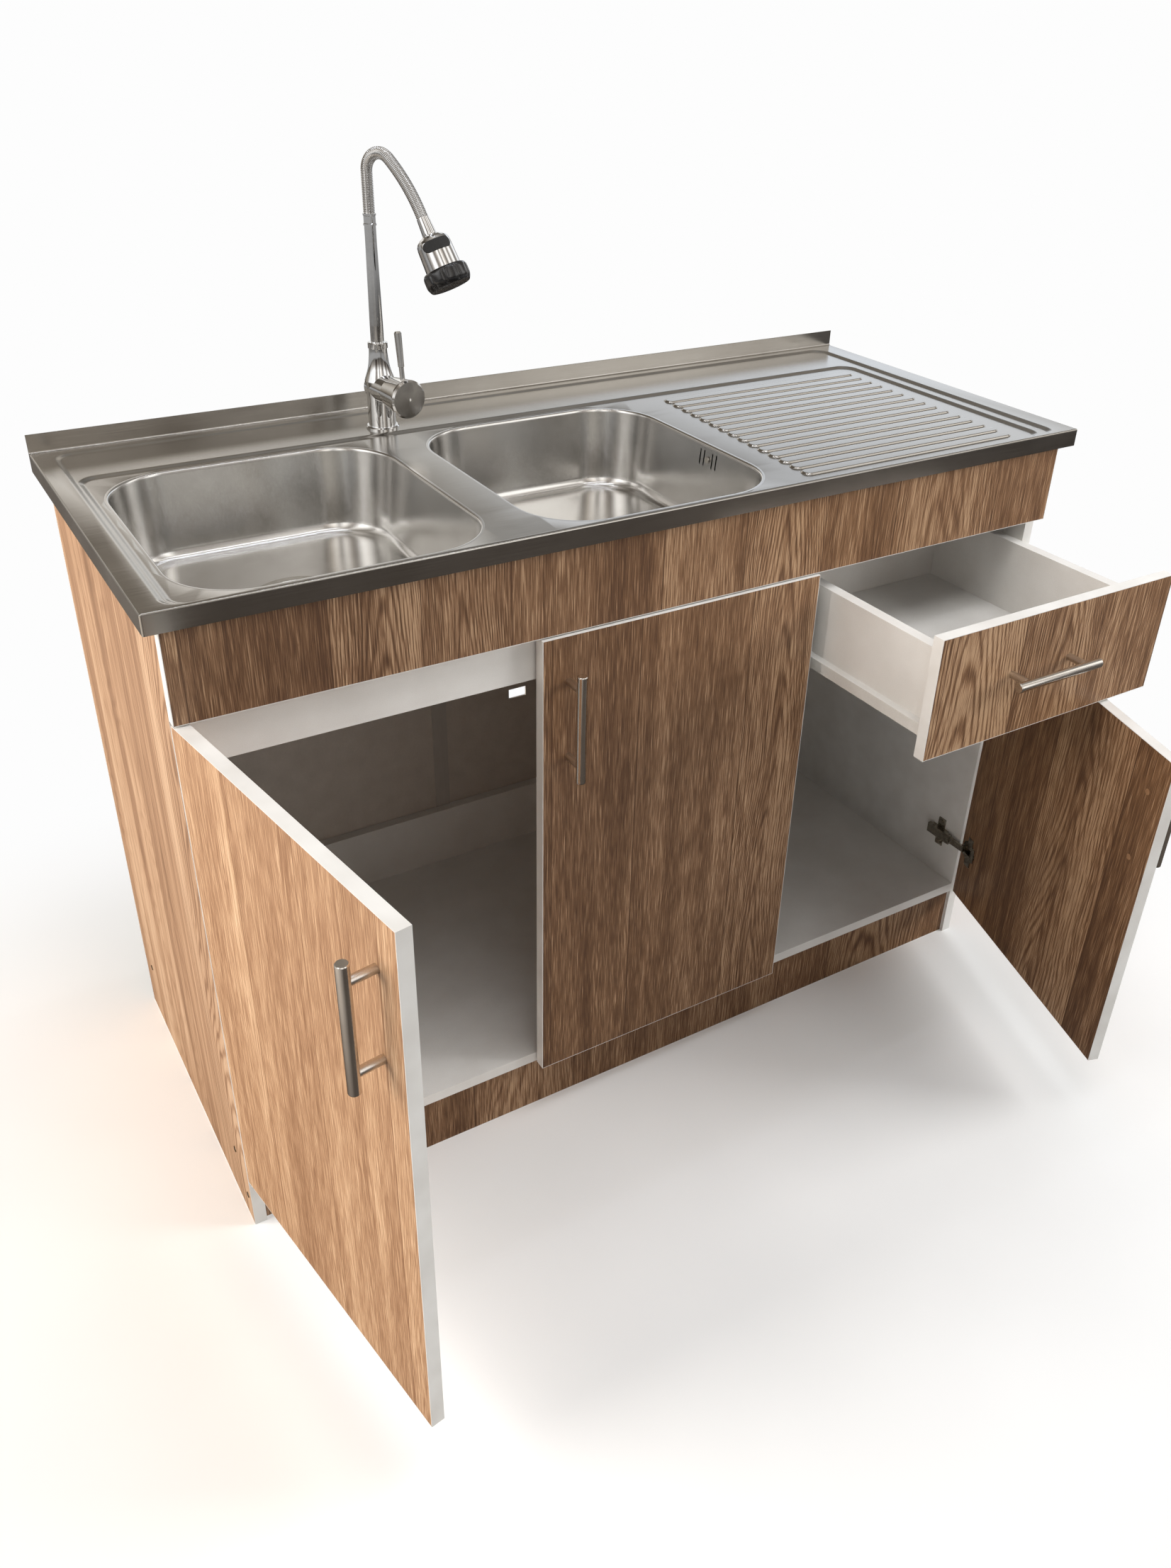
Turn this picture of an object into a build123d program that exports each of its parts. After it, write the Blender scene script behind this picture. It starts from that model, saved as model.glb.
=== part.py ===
"""Kitchen sink unit: a base unit of laminated board under a pressed steel top with two bowls and a drainer.

It has three doors on concealed hinges, one drawer on roller runners and a mixer tap with a flexible spout.

Millimetres, +Z up. While a piece is shaped, x runs from the left side panel's outer face, y runs back from
the closed doors' front faces and z is the height above the floor. Each piece is then moved, so that the
origin is the centre of the plinth board's underside. The left and right doors and the drawer stand open.
"""

from build123d import *
import math
import os

# ---- Carcass
unit_width = 1160.0
board = 15.0
door_gap = 3.0
carcass_depth = 467.0
plinth_height = 82.0
plinth_setback = 5.0
fascia_bottom = 710.0
fascia_top_gap = 1.0
front_rail_height = 65.0
front_rail_clearance = 3.0
rear_top_rail_height = 70.0
rear_lower_rail_height = 94.0
back_panel_thickness = 3.0
back_joint_x = 480.0
back_joint_gap = 3.0
back_strip_width = 24.0
back_strip_sheet = 1.2
service_hole_left = 600.0
service_hole_width = 30.0
service_hole_bottom = 350.0
service_hole_height = 16.0

# ---- Sink top
deck_depth = 500.0
deck_height = 830.0
deck_overhang_left = 14.0
deck_overhang_right = 26.0
lip_proud = 4.0
lip_height = 22.0
lip_radius = 2.0
upstand_height = 22.0
sheet = 1.0
step_drop = 2.5
outer_step_left = 21.0
outer_step_right = 31.0
outer_step_front = 14.0
outer_step_back = 15.0
inner_step_left = 3.0
inner_step_right = 16.0
step_front_inset = 0.2
tap_ledge = 84.0
step_run = 4.0
step_front_run = 1.2
step_radius = 24.0

# ---- Drainer ribs
rib_count = 15
rib_pitch = 23.0
rib_width = 20.0
rib_height = 2.2
rib_slope = 3.0
rib_first_y = 36.5
rib_bowl_gap_front = 34.0
rib_bowl_gap_back = 56.0
rib_end_gap_front = 87.0
rib_end_gap_back = 75.0

# ---- Bowls
left_bowl_width = 327.0
right_bowl_width = 312.0
bowl_length = 358.0
bowl_drop = 101.0
bowl_radius = 75.0
bowl_draft = 10.0
bowl_floor_radius = 14.0
bowl_rim_radius = 4.0
bowl_weld_width = 0.5
bowl_front = 20.5
left_bowl_inset = 32.0
bowl_gap = 53.0
partition_bowl_gap = 43.0

# ---- Wastes and overflow
waste_hole_radius = 43.0
waste_flange_radius = 54.0
waste_flange_height = 2.0
waste_wall = 1.8
waste_cup_depth = 36.0
waste_tail_radius = 20.5
waste_tail_length = 38.0
waste_nut_height = 11.0
waste_nut_wall = 9.0
strainer_clearance = 0.6
strainer_seat = 3.0
strainer_rest_gap = 0.3
overflow_y = 174.5
overflow_drop = 18.0
overflow_slot_height = 20.0
overflow_slot_width = 3.0
overflow_slot_offsets = (-16.5, -8.5, 8.5, 16.5)
overflow_box_width = 46.0
overflow_box_height = 25.0
overflow_box_reach = 17.0
overflow_wall = 1.6
overflow_spigot_radius = 8.0
overflow_spigot_length = 18.0
overflow_screw_radius = 2.0

# ---- Tap
tap_x = 393.5
tap_y = 420.0
tap_hole_radius = 16.0
tap_ring_radius = 20.5
tap_ring_height = 3.5
tap_column_radius = 17.0
tap_barrel_height = 50.0
tap_barrel_radius = 17.3
tap_barrel_angle = 7.0
tap_barrel_tail = 14.0
tap_shoulder_height = 59.0
tap_shoulder_radius = 18.6
tap_pivot_reach = 32.0
tap_cartridge_radius = 11.0
tap_neck_height = 98.0
tap_neck_radius = 11.0
tap_collar_height = 7.0
tap_collar_radius = 12.0
tap_shank_radius = 11.0
tap_shank_length = 42.0
tap_nut_radius = 20.0
running_clearance = 0.05
lever_hub_clearance = 0.3
lever_hub_wall = 1.3
lever_hub_radius = 23.0
lever_hub_length = 38.0
lever_hub_cut = 24.0
lever_rod_reach = 25.0
lever_rod_sink = 12.0
lever_rod_length = 55.0
lever_rod_foot_radius = 3.0
lever_rod_head_radius = 4.4
lever_rod_lean = 6.0

# ---- Flexible spout and spray head
spout_radius = 8.0
spout_top_radius = 6.8
spout_bore = 5.6
spout_top = 238.0
spout_socket = 30.0
spout_taper_start = 20.0
spout_taper_length = 95.0
spout_collar_radius = 7.7
spout_collar_height = 13.0
spout_angle = 65.0
hose_radius = 6.8
hose_groove = 0.7
hose_bore = 4.4
hose_rib_count = 66
hose_rise = 44.5
hose_bend_radius = 21.0
hose_bend_turn = 130.0
hose_fall_radius = 190.0
hose_end_turn = 151.0
hose_tail = 5.0
ferrule_length = 20.0
ferrule_radius = 8.2
head_top_radius = 19.8
head_radius = 20.8
head_length = 40.0
head_wall = 4.5
head_button_turn = 36.0
button_middle = 14.0
button_width = 32.0
button_height = 12.0
button_proud = 0.6
button_thickness = 2.4
button_travel = 1.0
button_gap = 0.3
button_stem_radius = 2.5
spray_ring_radius = 26.5
spray_ring_length = 21.0
spray_sleeve_radius = 18.0
spray_sleeve_length = 9.0
spray_face_thickness = 3.0
spray_grooves = 10
spray_groove_radius = 0.8
spray_holes = 12

# ---- Doors and drawer front
left_door_width = 388.0
middle_door_overlay = 6.0
front_gap = 3.0
drawer_gap = 4.0
door_bottom = 83.0
door_top = 708.0
drawer_front_height = 155.0
left_door_open = 81.0
right_door_open = 73.0
drawer_open = 205.0

# ---- Handles
handle_length = 136.0
handle_centres = 96.0
handle_radius = 6.0
handle_proud = 35.0
post_radius = 4.5
post_bolt_radius = 2.0
post_head_radius = 4.0
post_head_depth = 2.2
handle_side_inset = 33.0
handle_top_inset = 104.0
drawer_handle_left = 171.0
drawer_handle_drop = 72.0

# ---- Concealed hinges
hinge_inset = 90.0
cup_radius = 17.5
cup_edge = 3.0
cup_depth = 12.0
cup_clearance = 0.1
cup_flange = 1.0
cup_flange_width = 30.0
cup_flange_height = 24.0
cup_ear_width = 14.0
cup_ear_height = 50.0
cup_pocket_end = 27.0
pivot_x = 6.5
pivot_y = 6.3
pivot_pin_radius = 1.1
pivot_pin_length = 16.0
arm_eye_radius = 2.4
arm_half_width = 5.0
arm_thickness = 3.2
arm_leg_x = 18.5
arm_leg_thickness = 4.0
arm_back = 80.0
arm_body_front = 34.0
arm_body_half_width = 8.0
arm_body_height = 5.5
arm_side_clearance = 0.6
plate_front = 44.0
plate_back = 76.0
plate_wing_front = 52.0
plate_wing_back = 66.0
plate_wing_half_height = 24.0
plate_wing_thickness = 2.0
plate_screw_z = 18.0
screw_radius = 2.0
screw_head_radius = 3.8
screw_head_height = 1.6
screw_grip = 11.0
cap_radius = 4.0
cap_height = 0.8

# ---- Drawer and runners
drawer_side_height = 112.8
drawer_side_bottom = 569.2
drawer_depth = 350.0
drawer_bottom_thickness = 3.0
drawer_bottom_raise = 14.0
drawer_groove = 5.0
groove_clearance = 0.1
runner_length = 350.0
runner_space = 13.0
runner_sheet = 1.2
runner_front = 2.0
runner_channel_height = 26.0
runner_channel_width = 10.5
runner_flange_drop = 0.8
roller_radius = 8.5
roller_width = 7.4
roller_gap = 0.3
roller_end = 12.0
axle_radius = 2.1

# ---- Places worked out from the sizes above
carcass_front = board + door_gap
carcass_back = carcass_front + carcass_depth
floor_level = plinth_height + board
right_panel_x = unit_width - board
left_bowl_span = (left_bowl_inset, left_bowl_inset + left_bowl_width)
right_bowl_x = left_bowl_span[1] + bowl_gap
right_bowl_span = (right_bowl_x, right_bowl_x + right_bowl_width)
partition_left = right_bowl_span[1] + partition_bowl_gap
partition_right = partition_left + board
lip_front = door_gap - lip_proud
deck_left = -deck_overhang_left
deck_right = unit_width + deck_overhang_right
deck_back = lip_front + deck_depth
ledge_level = deck_height - step_drop
basin_level = deck_height - 2 * step_drop
carcass_top = basin_level - sheet
fascia_top = carcass_top - fascia_top_gap
bowl_floor = basin_level - bowl_drop
bowl_underside = bowl_floor - sheet
front_rail_top = bowl_underside - front_rail_clearance
middle_door_left = left_door_width + front_gap
middle_door_right = partition_left + middle_door_overlay
middle_door_width = middle_door_right - middle_door_left
right_front_left = middle_door_right + front_gap
drawer_front_bottom = door_top - drawer_front_height
right_door_top = drawer_front_bottom - drawer_gap
plinth_middle = carcass_front + plinth_setback + board / 2
origin_shift = (-unit_width / 2, -plinth_middle, 0)

barrel_level = ledge_level + tap_barrel_height
barrel_axis = Vector(math.sin(math.radians(tap_barrel_angle)), -math.cos(math.radians(tap_barrel_angle)), 0)
barrel_plane = Plane(origin=(tap_x, tap_y, barrel_level), x_dir=(0, 0, 1), z_dir=barrel_axis)
spout_end = ledge_level + spout_top
spout_heading = Vector(math.cos(math.radians(spout_angle)), -math.sin(math.radians(spout_angle)), 0)
cup_x = cup_edge + cup_radius


# ---- Small helpers
def block(x_range, y_range, z_range):
    """A box between two values on each axis."""
    size = [high - low for low, high in (x_range, y_range, z_range)]
    middle = [(high + low) / 2 for low, high in (x_range, y_range, z_range)]
    return Pos(*middle) * Box(*size)


def turned(profile):
    """A solid of revolution about Z from (radius, height) points."""
    return revolve(make_face(Plane.XZ * Polyline(*profile, close=True)), Axis.Z)


def disc(radius, low, high):
    """A cylinder about Z between two heights."""
    return Pos(0, 0, (low + high) / 2) * Cylinder(radius, high - low)


def bar_x(radius, x_range, y, z):
    """A cylinder along X."""
    length = x_range[1] - x_range[0]
    return Pos((x_range[0] + x_range[1]) / 2, y, z) * Rot(0, 90, 0) * Cylinder(radius, length)


def bar_y(radius, x, y_range, z):
    """A cylinder along Y."""
    length = y_range[1] - y_range[0]
    return Pos(x, (y_range[0] + y_range[1]) / 2, z) * Rot(90, 0, 0) * Cylinder(radius, length)


def bar_z(radius, x, y, z_range):
    """A cylinder along Z."""
    return Pos(x, y, 0) * disc(radius, *z_range)


def rounded_face(x_range, y_range, radius, z):
    """A rounded rectangle lying at a height."""
    middle = ((x_range[0] + x_range[1]) / 2, (y_range[0] + y_range[1]) / 2, z)
    size = (x_range[1] - x_range[0], y_range[1] - y_range[0])
    return (Pos(*middle) * RectangleRounded(*size, radius)).face()


def group(pieces):
    """Several separate solids kept in one node."""
    return Compound([solid for piece in pieces for solid in piece.solids()])


def save(node, shape):
    """Move a piece to the unit's own origin and write it."""
    placed = Pos(*origin_shift) * shape
    export_step(placed, os.path.join("parts", node + ".step"))


# ---- Carcass
def side_panels():
    """The two outer panels, which stand on the floor, with pilot holes for the screws."""
    depth = (carcass_front, carcass_back)
    holes = group(wood_screws())
    left = block((0, board), depth, (0, carcass_top)) - holes
    right = block((right_panel_x, unit_width), depth, (0, carcass_top)) - holes
    return {"left_side_panel": left, "right_side_panel": right}


def carcass_boards():
    """Every other board of the carcass."""
    inside = (board, right_panel_x)
    rail_depth = (carcass_back - board, carcass_back)
    plinth_front = carcass_front + plinth_setback
    holes = group(wood_screws())
    floor = block(inside, (carcass_front, carcass_back), (plinth_height, floor_level))
    partition = block((partition_left, partition_right), (carcass_front, rail_depth[0]),
                      (floor_level, carcass_top))
    return {
        "floor_panel": floor - holes,
        "plinth_board": block(inside, (plinth_front, plinth_front + board), (0, plinth_height)) - holes,
        "partition_panel": partition - holes,
        "front_fascia": block((0, unit_width), (door_gap, carcass_front), (fascia_bottom, fascia_top)),
        "front_rail": block((board, partition_left), (carcass_front, carcass_front + board),
                            (front_rail_top - front_rail_height, front_rail_top)),
        "rear_top_rail": block(inside, rail_depth, (carcass_top - rear_top_rail_height, carcass_top)),
        "rear_lower_rail": block(inside, rail_depth, (floor_level, floor_level + rear_lower_rail_height)),
    }


def back_panels():
    """Two dark hardboard panels and the joint strip that holds their meeting edges."""
    rear = (carcass_back, carcass_back + back_panel_thickness)
    height = (plinth_height, carcass_top)
    half_gap = back_joint_gap / 2
    hole = block((service_hole_left, service_hole_left + service_hole_width),
                 (rear[0] - 1, rear[1] + 1),
                 (service_hole_bottom, service_hole_bottom + service_hole_height))
    strip_x = (back_joint_x - back_strip_width / 2, back_joint_x + back_strip_width / 2)
    strip_inner = block(strip_x, (rear[0] - back_strip_sheet, rear[0]),
                        (floor_level + rear_lower_rail_height, carcass_top - rear_top_rail_height))
    strip_web = block((back_joint_x - half_gap, back_joint_x + half_gap), rear, height)
    strip_outer = block(strip_x, (rear[1], rear[1] + back_strip_sheet), height)
    return {
        "left_back_panel": block((0, back_joint_x - half_gap), rear, height),
        "right_back_panel": block((back_joint_x + half_gap, unit_width), rear, height) - hole,
        "back_joint_strip": strip_inner + strip_web + strip_outer,
    }


# ---- Sink top
def recess(low_z, high_z, margins, run, front_run, radius):
    """A shallow tray: a rounded rectangle whose sides slope in from the top to the foot."""
    x0, x1, y0, y1 = margins
    top = rounded_face((x0, x1), (y0, y1), radius, high_z)
    foot = rounded_face((x0 + run, x1 - run), (y0 + front_run, y1 - run), radius - run, low_z)
    return loft([foot, top], ruled=True)


def drainer_ribs(level):
    """The raised ribs of the drainer, each a low stadium with sloping sides."""
    ribs = []
    for index in range(rib_count):
        y = rib_first_y + index * rib_pitch
        share = index / (rib_count - 1)
        bowl_gap_here = rib_bowl_gap_front + share * (rib_bowl_gap_back - rib_bowl_gap_front)
        end_gap_here = rib_end_gap_front + share * (rib_end_gap_back - rib_end_gap_front)
        left = right_bowl_span[1] + bowl_gap_here
        right = deck_right - end_gap_here
        middle = (left + right) / 2
        foot = Pos(middle, y, level) * SlotOverall(right - left, rib_width)
        crown = Pos(middle, y, level + rib_height) * SlotOverall(right - left - 2 * rib_slope,
                                                                 rib_width - 2 * rib_slope)
        ribs.append(loft([foot.face(), crown.face()], ruled=True))
    return ribs


def pressed_form(inset):
    """The pressed top's outer form, or, inset by the sheet, the cut that leaves it open below and behind."""
    past = 0 if inset == 0 else lip_height
    back = deck_back + past
    bottom = deck_height - lip_height - past
    top = deck_height - inset
    form = block((deck_left + inset, deck_right - inset), (lip_front + inset, back), (bottom, top))
    edges = form.edges().filter_by(lambda e: abs(e.center().Z - top) < 0.01 and e.center().Y < back - 1)
    corners = form.edges().filter_by(Axis.Z).filter_by(lambda e: e.center().Y < lip_front + 2 * inset + 1)
    form = fillet(list(edges) + list(corners), lip_radius - inset)
    x0 = deck_left + outer_step_left
    x1 = deck_right - outer_step_right
    y0 = lip_front + outer_step_front
    y1 = deck_back - outer_step_back
    form -= recess(top - step_drop, top, (x0, x1, y0, y1), step_run, step_front_run, step_radius)
    inner = (x0 + step_run + inner_step_left, x1 - step_run - inner_step_right,
             y0 + step_front_run + step_front_inset, y1 - step_run - tap_ledge)
    form -= recess(top - 2 * step_drop, top - step_drop, inner, step_run, step_front_run, step_radius)
    for rib in drainer_ribs(top - 2 * step_drop):
        form += rib
    return form


def sink_deck():
    """The pressed sheet with lips, two steps, ribs and an upstand, open at the bowls and the tap."""
    deck = pressed_form(0) - pressed_form(sheet)
    deck += block((deck_left, deck_right), (deck_back - sheet, deck_back),
                  (deck_height - sheet, deck_height + upstand_height))
    weld = bowl_rim_radius + bowl_weld_width
    for span in (left_bowl_span, right_bowl_span):
        opening = rounded_face((span[0] - weld, span[1] + weld),
                               (bowl_front - weld, bowl_front + bowl_length + weld),
                               bowl_radius + weld, deck_height - lip_height)
        deck -= extrude(opening, lip_height + 1, dir=(0, 0, 1))
    deck -= bar_z(tap_hole_radius, tap_x, tap_y, (ledge_level - lip_height, deck_height))
    return deck


def bowl_form(span, inset):
    """A bowl's inner form, or its outer form when inset is minus the sheet thickness."""
    def outline(shrink, z):
        return rounded_face((span[0] + shrink, span[1] - shrink),
                            (bowl_front + shrink, bowl_front + bowl_length - shrink),
                            bowl_radius - shrink, z)
    bottom = bowl_floor + inset
    form = loft([outline(bowl_draft + inset, bottom), outline(inset, basin_level)], ruled=True)
    return fillet(form.edges().group_by(Axis.Z)[0], bowl_floor_radius - inset)


def bowl(span):
    """A pressed bowl: a thin shell whose rolled rim meets the deck, with a hole for its waste."""
    weld = bowl_rim_radius + bowl_weld_width
    flange = rounded_face((span[0] - weld, span[1] + weld),
                          (bowl_front - weld, bowl_front + bowl_length + weld),
                          bowl_radius + weld, basin_level - sheet)
    shell = bowl_form(span, -sheet) + extrude(flange, sheet, dir=(0, 0, 1))
    under_rim = [e for e in shell.edges() if abs(e.center().Z - (basin_level - sheet)) < 0.05
                 and not lies_on_outline(e, span, weld)]
    shell = fillet(under_rim, bowl_rim_radius - sheet)
    shell -= bowl_form(span, 0)
    over_rim = [e for e in shell.edges() if abs(e.center().Z - basin_level) < 0.05
                and not lies_on_outline(e, span, weld)]
    shell = fillet(over_rim, bowl_rim_radius)
    x, y = bowl_centre(span)
    return shell - bar_z(waste_hole_radius, x, y, (bowl_underside - 1, bowl_floor + 1))


def lies_on_outline(edge, span, weld):
    """True for an edge on the rim flange's outer outline."""
    x, y = bowl_centre(span)
    reach_x = abs(edge.position_at(0.5).X - x)
    reach_y = abs(edge.position_at(0.5).Y - y)
    half_x = (span[1] - span[0]) / 2 + weld
    half_y = bowl_length / 2 + weld
    corner = math.hypot(reach_x - (half_x - bowl_radius - weld), reach_y - (half_y - bowl_radius - weld))
    on_side = abs(reach_x - half_x) < 0.1 or abs(reach_y - half_y) < 0.1
    return on_side or abs(corner - bowl_radius - weld) < 0.1


def bowl_centre(span):
    """The middle of a bowl's floor."""
    return (span[0] + span[1]) / 2, bowl_front + bowl_length / 2


# ---- Wastes and overflow
def waste_body():
    """A basket waste: flange, cup with a seat for the basket, and the tail that takes the trap."""
    body = waste_hole_radius - running_clearance
    bore = body - waste_wall
    seat = bore - strainer_seat
    seat_z = bowl_floor - waste_cup_depth / 2
    cup_z = bowl_floor - waste_cup_depth
    tail_z = cup_z - waste_tail_length
    tail_bore = waste_tail_radius - waste_wall
    flange_z = bowl_floor + waste_flange_height
    return turned([
        (waste_flange_radius, bowl_floor), (body, bowl_floor), (body, cup_z),
        (waste_tail_radius, cup_z - waste_wall * 2), (waste_tail_radius, tail_z), (tail_bore, tail_z),
        (tail_bore, cup_z), (seat, cup_z + waste_wall * 2), (seat, seat_z), (bore, seat_z),
        (bore, flange_z - 0.6), (bore + 1, flange_z), (waste_flange_radius - 2, flange_z),
        (waste_flange_radius, flange_z - 1)])


def waste_nut():
    """The ring nut that clamps the waste under the bowl."""
    bore = waste_hole_radius - running_clearance
    ring = disc(bore + waste_nut_wall, bowl_underside - waste_nut_height, bowl_underside)
    ring -= disc(bore, bowl_underside - waste_nut_height, bowl_underside)
    for turn in range(8):
        ring -= Rot(0, 0, turn * 45) * bar_z(3.0, bore + waste_nut_wall, 0,
                                             (bowl_underside - waste_nut_height, bowl_underside - 3))
    return ring


def strainer():
    """The lift-out basket with its knob."""
    reach = waste_hole_radius - running_clearance - waste_wall - strainer_clearance
    seat_z = bowl_floor - waste_cup_depth / 2 + strainer_rest_gap
    cup = reach - strainer_seat - 2
    cup_z = seat_z - 9
    knob_z = bowl_floor - 2
    basket = turned([
        (0, cup_z), (cup, cup_z), (cup + 1, seat_z), (reach, seat_z), (reach, seat_z + 1.2),
        (cup, seat_z + 1.2), (cup - 1, cup_z + 1.2), (3.2, cup_z + 1.2), (3.2, knob_z - 2),
        (8, knob_z), (8, knob_z + 4), (6.5, knob_z + 5.5), (0, knob_z + 5.5)])
    for ring_radius, holes in ((12.0, 8), (20.0, 14), (28.0, 20)):
        for turn in range(holes):
            basket -= Rot(0, 0, turn * 360 / holes) * bar_z(1.8, ring_radius, 0, (cup_z - 1, cup_z + 2))
    return basket


def overflow_wall_x():
    """The outer face of the right bowl's right wall at the overflow's height."""
    level = basin_level - overflow_drop
    return right_bowl_span[1] + sheet - bowl_draft * overflow_drop / bowl_drop, level


def overflow_cuts():
    """The overflow's slots and screw hole, as solids to cut from the bowl's wall."""
    wall_x, level = overflow_wall_x()
    cuts = []
    for offset in overflow_slot_offsets:
        slot = Plane(origin=(wall_x - 8, overflow_y + offset, level), x_dir=(0, 0, 1), z_dir=(1, 0, 0)) \
            * SlotOverall(overflow_slot_height, overflow_slot_width)
        cuts.append(extrude(slot, 14))
    cuts.append(bar_x(overflow_screw_radius, (wall_x - 8, wall_x + 6), overflow_y, level))
    return cuts


def overflow_elbow():
    """The moulded box behind the slots with a spigot for the overflow hose."""
    wall_x, level = overflow_wall_x()
    half_width = overflow_box_width / 2
    half_height = overflow_box_height / 2
    reach = wall_x + overflow_box_reach
    box = block((wall_x - 4, reach), (overflow_y - half_width, overflow_y + half_width),
                (level - half_height, level + half_height))
    spigot_x = reach - overflow_spigot_radius
    spigot = bar_z(overflow_spigot_radius, spigot_x, overflow_y,
                   (level - half_height - overflow_spigot_length, level - half_height))
    hollow = block((wall_x - 5, reach - overflow_wall),
                   (overflow_y - half_width + overflow_wall, overflow_y + half_width - overflow_wall),
                   (level - half_height + overflow_wall, level + half_height - overflow_wall))
    bore = bar_z(overflow_spigot_radius - overflow_wall, spigot_x, overflow_y,
                 (level - half_height - overflow_spigot_length, level))
    boss = bar_x(overflow_screw_radius + 2, (wall_x + 1, reach), overflow_y, level)
    elbow = (box + spigot) - hollow - bore + boss
    elbow -= bar_x(overflow_screw_radius, (wall_x - 8, reach - overflow_wall), overflow_y, level)
    return elbow - bowl_form(right_bowl_span, -sheet)


def overflow_screw():
    """The screw that pulls the elbow to the wall, with its domed head inside the bowl."""
    wall_x, level = overflow_wall_x()
    face = wall_x - sheet - 0.6
    tip = wall_x + overflow_box_reach - overflow_wall
    shaft = bar_x(overflow_screw_radius, (face, tip), overflow_y, level)
    head = bar_x(overflow_screw_radius * 2, (face - 1.6, face), overflow_y, level)
    return head + shaft


# ---- Tap
def tap_body():
    """The cast body: a column flaring down from a neck, and a side barrel with a ball for the lever."""
    foot = ledge_level + tap_ring_height
    neck = ledge_level + tap_neck_height
    top = neck + tap_collar_height
    shoulder = ledge_level + tap_shoulder_height
    rise = neck - shoulder
    base = Polyline((tap_shoulder_radius, shoulder), (tap_column_radius, barrel_level),
                    (tap_column_radius, foot), (0, foot), (0, top), (tap_collar_radius - 1, top),
                    (tap_collar_radius, top - 1), (tap_collar_radius, neck), (tap_neck_radius, neck))
    flare = Spline((tap_neck_radius, neck), (tap_neck_radius + 0.7, neck - rise * 0.3),
                   (tap_neck_radius + 3.0, neck - rise * 0.65), (tap_shoulder_radius, shoulder),
                   tangents=[(0, -1), (0.35, -1)])
    column = revolve(make_face(Plane.XZ * (base + flare)), Axis.Z)
    column = Pos(tap_x, tap_y, 0) * column
    barrel = turned([
        (0, -tap_barrel_tail), (tap_barrel_radius - 4, -tap_barrel_tail),
        (tap_barrel_radius, 4 - tap_barrel_tail), (tap_barrel_radius, tap_pivot_reach),
        (0, tap_pivot_reach)])
    barrel += Pos(0, 0, tap_pivot_reach) * Sphere(tap_barrel_radius)
    barrel = barrel_plane.location * barrel
    chamber = barrel_plane.location * disc(tap_cartridge_radius, 8, tap_pivot_reach + tap_barrel_radius)
    socket = bar_z(spout_radius + running_clearance, tap_x, tap_y, (top - spout_socket, top))
    shank_bore = bar_z(tap_shank_radius, tap_x, tap_y, (foot, foot + 12))
    return column + barrel - chamber - socket - shank_bore


def tap_fixings():
    """The ring under the body, the shank through the deck and the nut under it."""
    ring = turned([
        (tap_shank_radius + 0.5, 0), (tap_ring_radius, 0), (tap_ring_radius, tap_ring_height - 1.5),
        (tap_ring_radius - 1.5, tap_ring_height), (tap_shank_radius + 0.5, tap_ring_height)])
    underside = ledge_level - sheet
    shank = disc(tap_shank_radius, underside - tap_shank_length, ledge_level + tap_ring_height + 12)
    shank -= disc(tap_shank_radius - 2.5, underside - tap_shank_length, ledge_level + tap_ring_height + 12)
    nut = turned([
        (tap_shank_radius, underside - 14), (tap_nut_radius - 4, underside - 14),
        (tap_nut_radius - 4, underside - 4), (tap_nut_radius, underside - 4), (tap_nut_radius, underside),
        (tap_shank_radius, underside)])
    place = Pos(tap_x, tap_y, 0)
    return {
        "tap_base_ring": Pos(tap_x, tap_y, ledge_level) * ring,
        "tap_shank": place * shank,
        "tap_fixing_nut": place * nut,
    }


def tap_lever():
    """The cartridge stem, the lever hub on its ball and the lever rod."""
    pivot = tap_pivot_reach
    cheek = tap_cartridge_radius - 3
    stem = disc(tap_cartridge_radius - running_clearance, 10, pivot - 7)
    fork = block((-4, 4), (-cheek, cheek), (pivot - 8, pivot + 4))
    fork -= block((-5, 5), (-3.5, 3.5), (pivot - 6, pivot + 5))
    stem += fork
    stem += bar_y(2.0, 0, (-cheek, cheek), pivot)
    cavity = tap_barrel_radius + lever_hub_clearance
    rim = cavity + lever_hub_wall
    front = pivot + lever_hub_length
    hub = turned([
        (0, pivot), (rim, pivot), (lever_hub_radius, front - 5), (lever_hub_radius, front - 2.5),
        (lever_hub_radius - 2, front), (0, front + 0.8)])
    hub -= Pos(0, 0, pivot) * Sphere(cavity)
    lower_half = Pos(-lever_hub_radius, 0, -lever_hub_radius) \
        * Box(2 * lever_hub_radius, 4 * lever_hub_radius, 2 * lever_hub_radius)
    hub -= Pos(0, 0, pivot) * Rot(0, lever_hub_cut, 0) * lower_half
    tongue = block((-3.5, 3.5), (-3.2, 3.2), (pivot - 3, pivot + cavity + 1))
    tongue -= bar_y(2.0 + running_clearance, 0, (-4, 4), pivot)
    hub += tongue
    rod_z = pivot + lever_rod_reach
    slope = (lever_hub_radius - rim) / (lever_hub_length - 5)
    rod_foot = rim + slope * lever_rod_reach - lever_rod_sink
    rod_base = Pos(rod_foot, 0, rod_z) * Rot(0, 90 + lever_rod_lean, 0)
    total = lever_rod_sink + lever_rod_length
    rod = turned([
        (0, 0), (lever_rod_foot_radius, 0), (lever_rod_foot_radius, lever_rod_sink + 14),
        (lever_rod_foot_radius + 0.7, lever_rod_sink + 14.6), (lever_rod_head_radius, total - 1.5),
        (lever_rod_head_radius - 1.2, total), (0, total)])
    hub -= rod_base * disc(lever_rod_foot_radius, 0, lever_rod_sink + 4)
    return {
        "tap_cartridge_stem": barrel_plane.location * stem,
        "tap_lever_hub": barrel_plane.location * hub,
        "tap_lever_rod": barrel_plane.location * rod_base * rod,
    }


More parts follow.
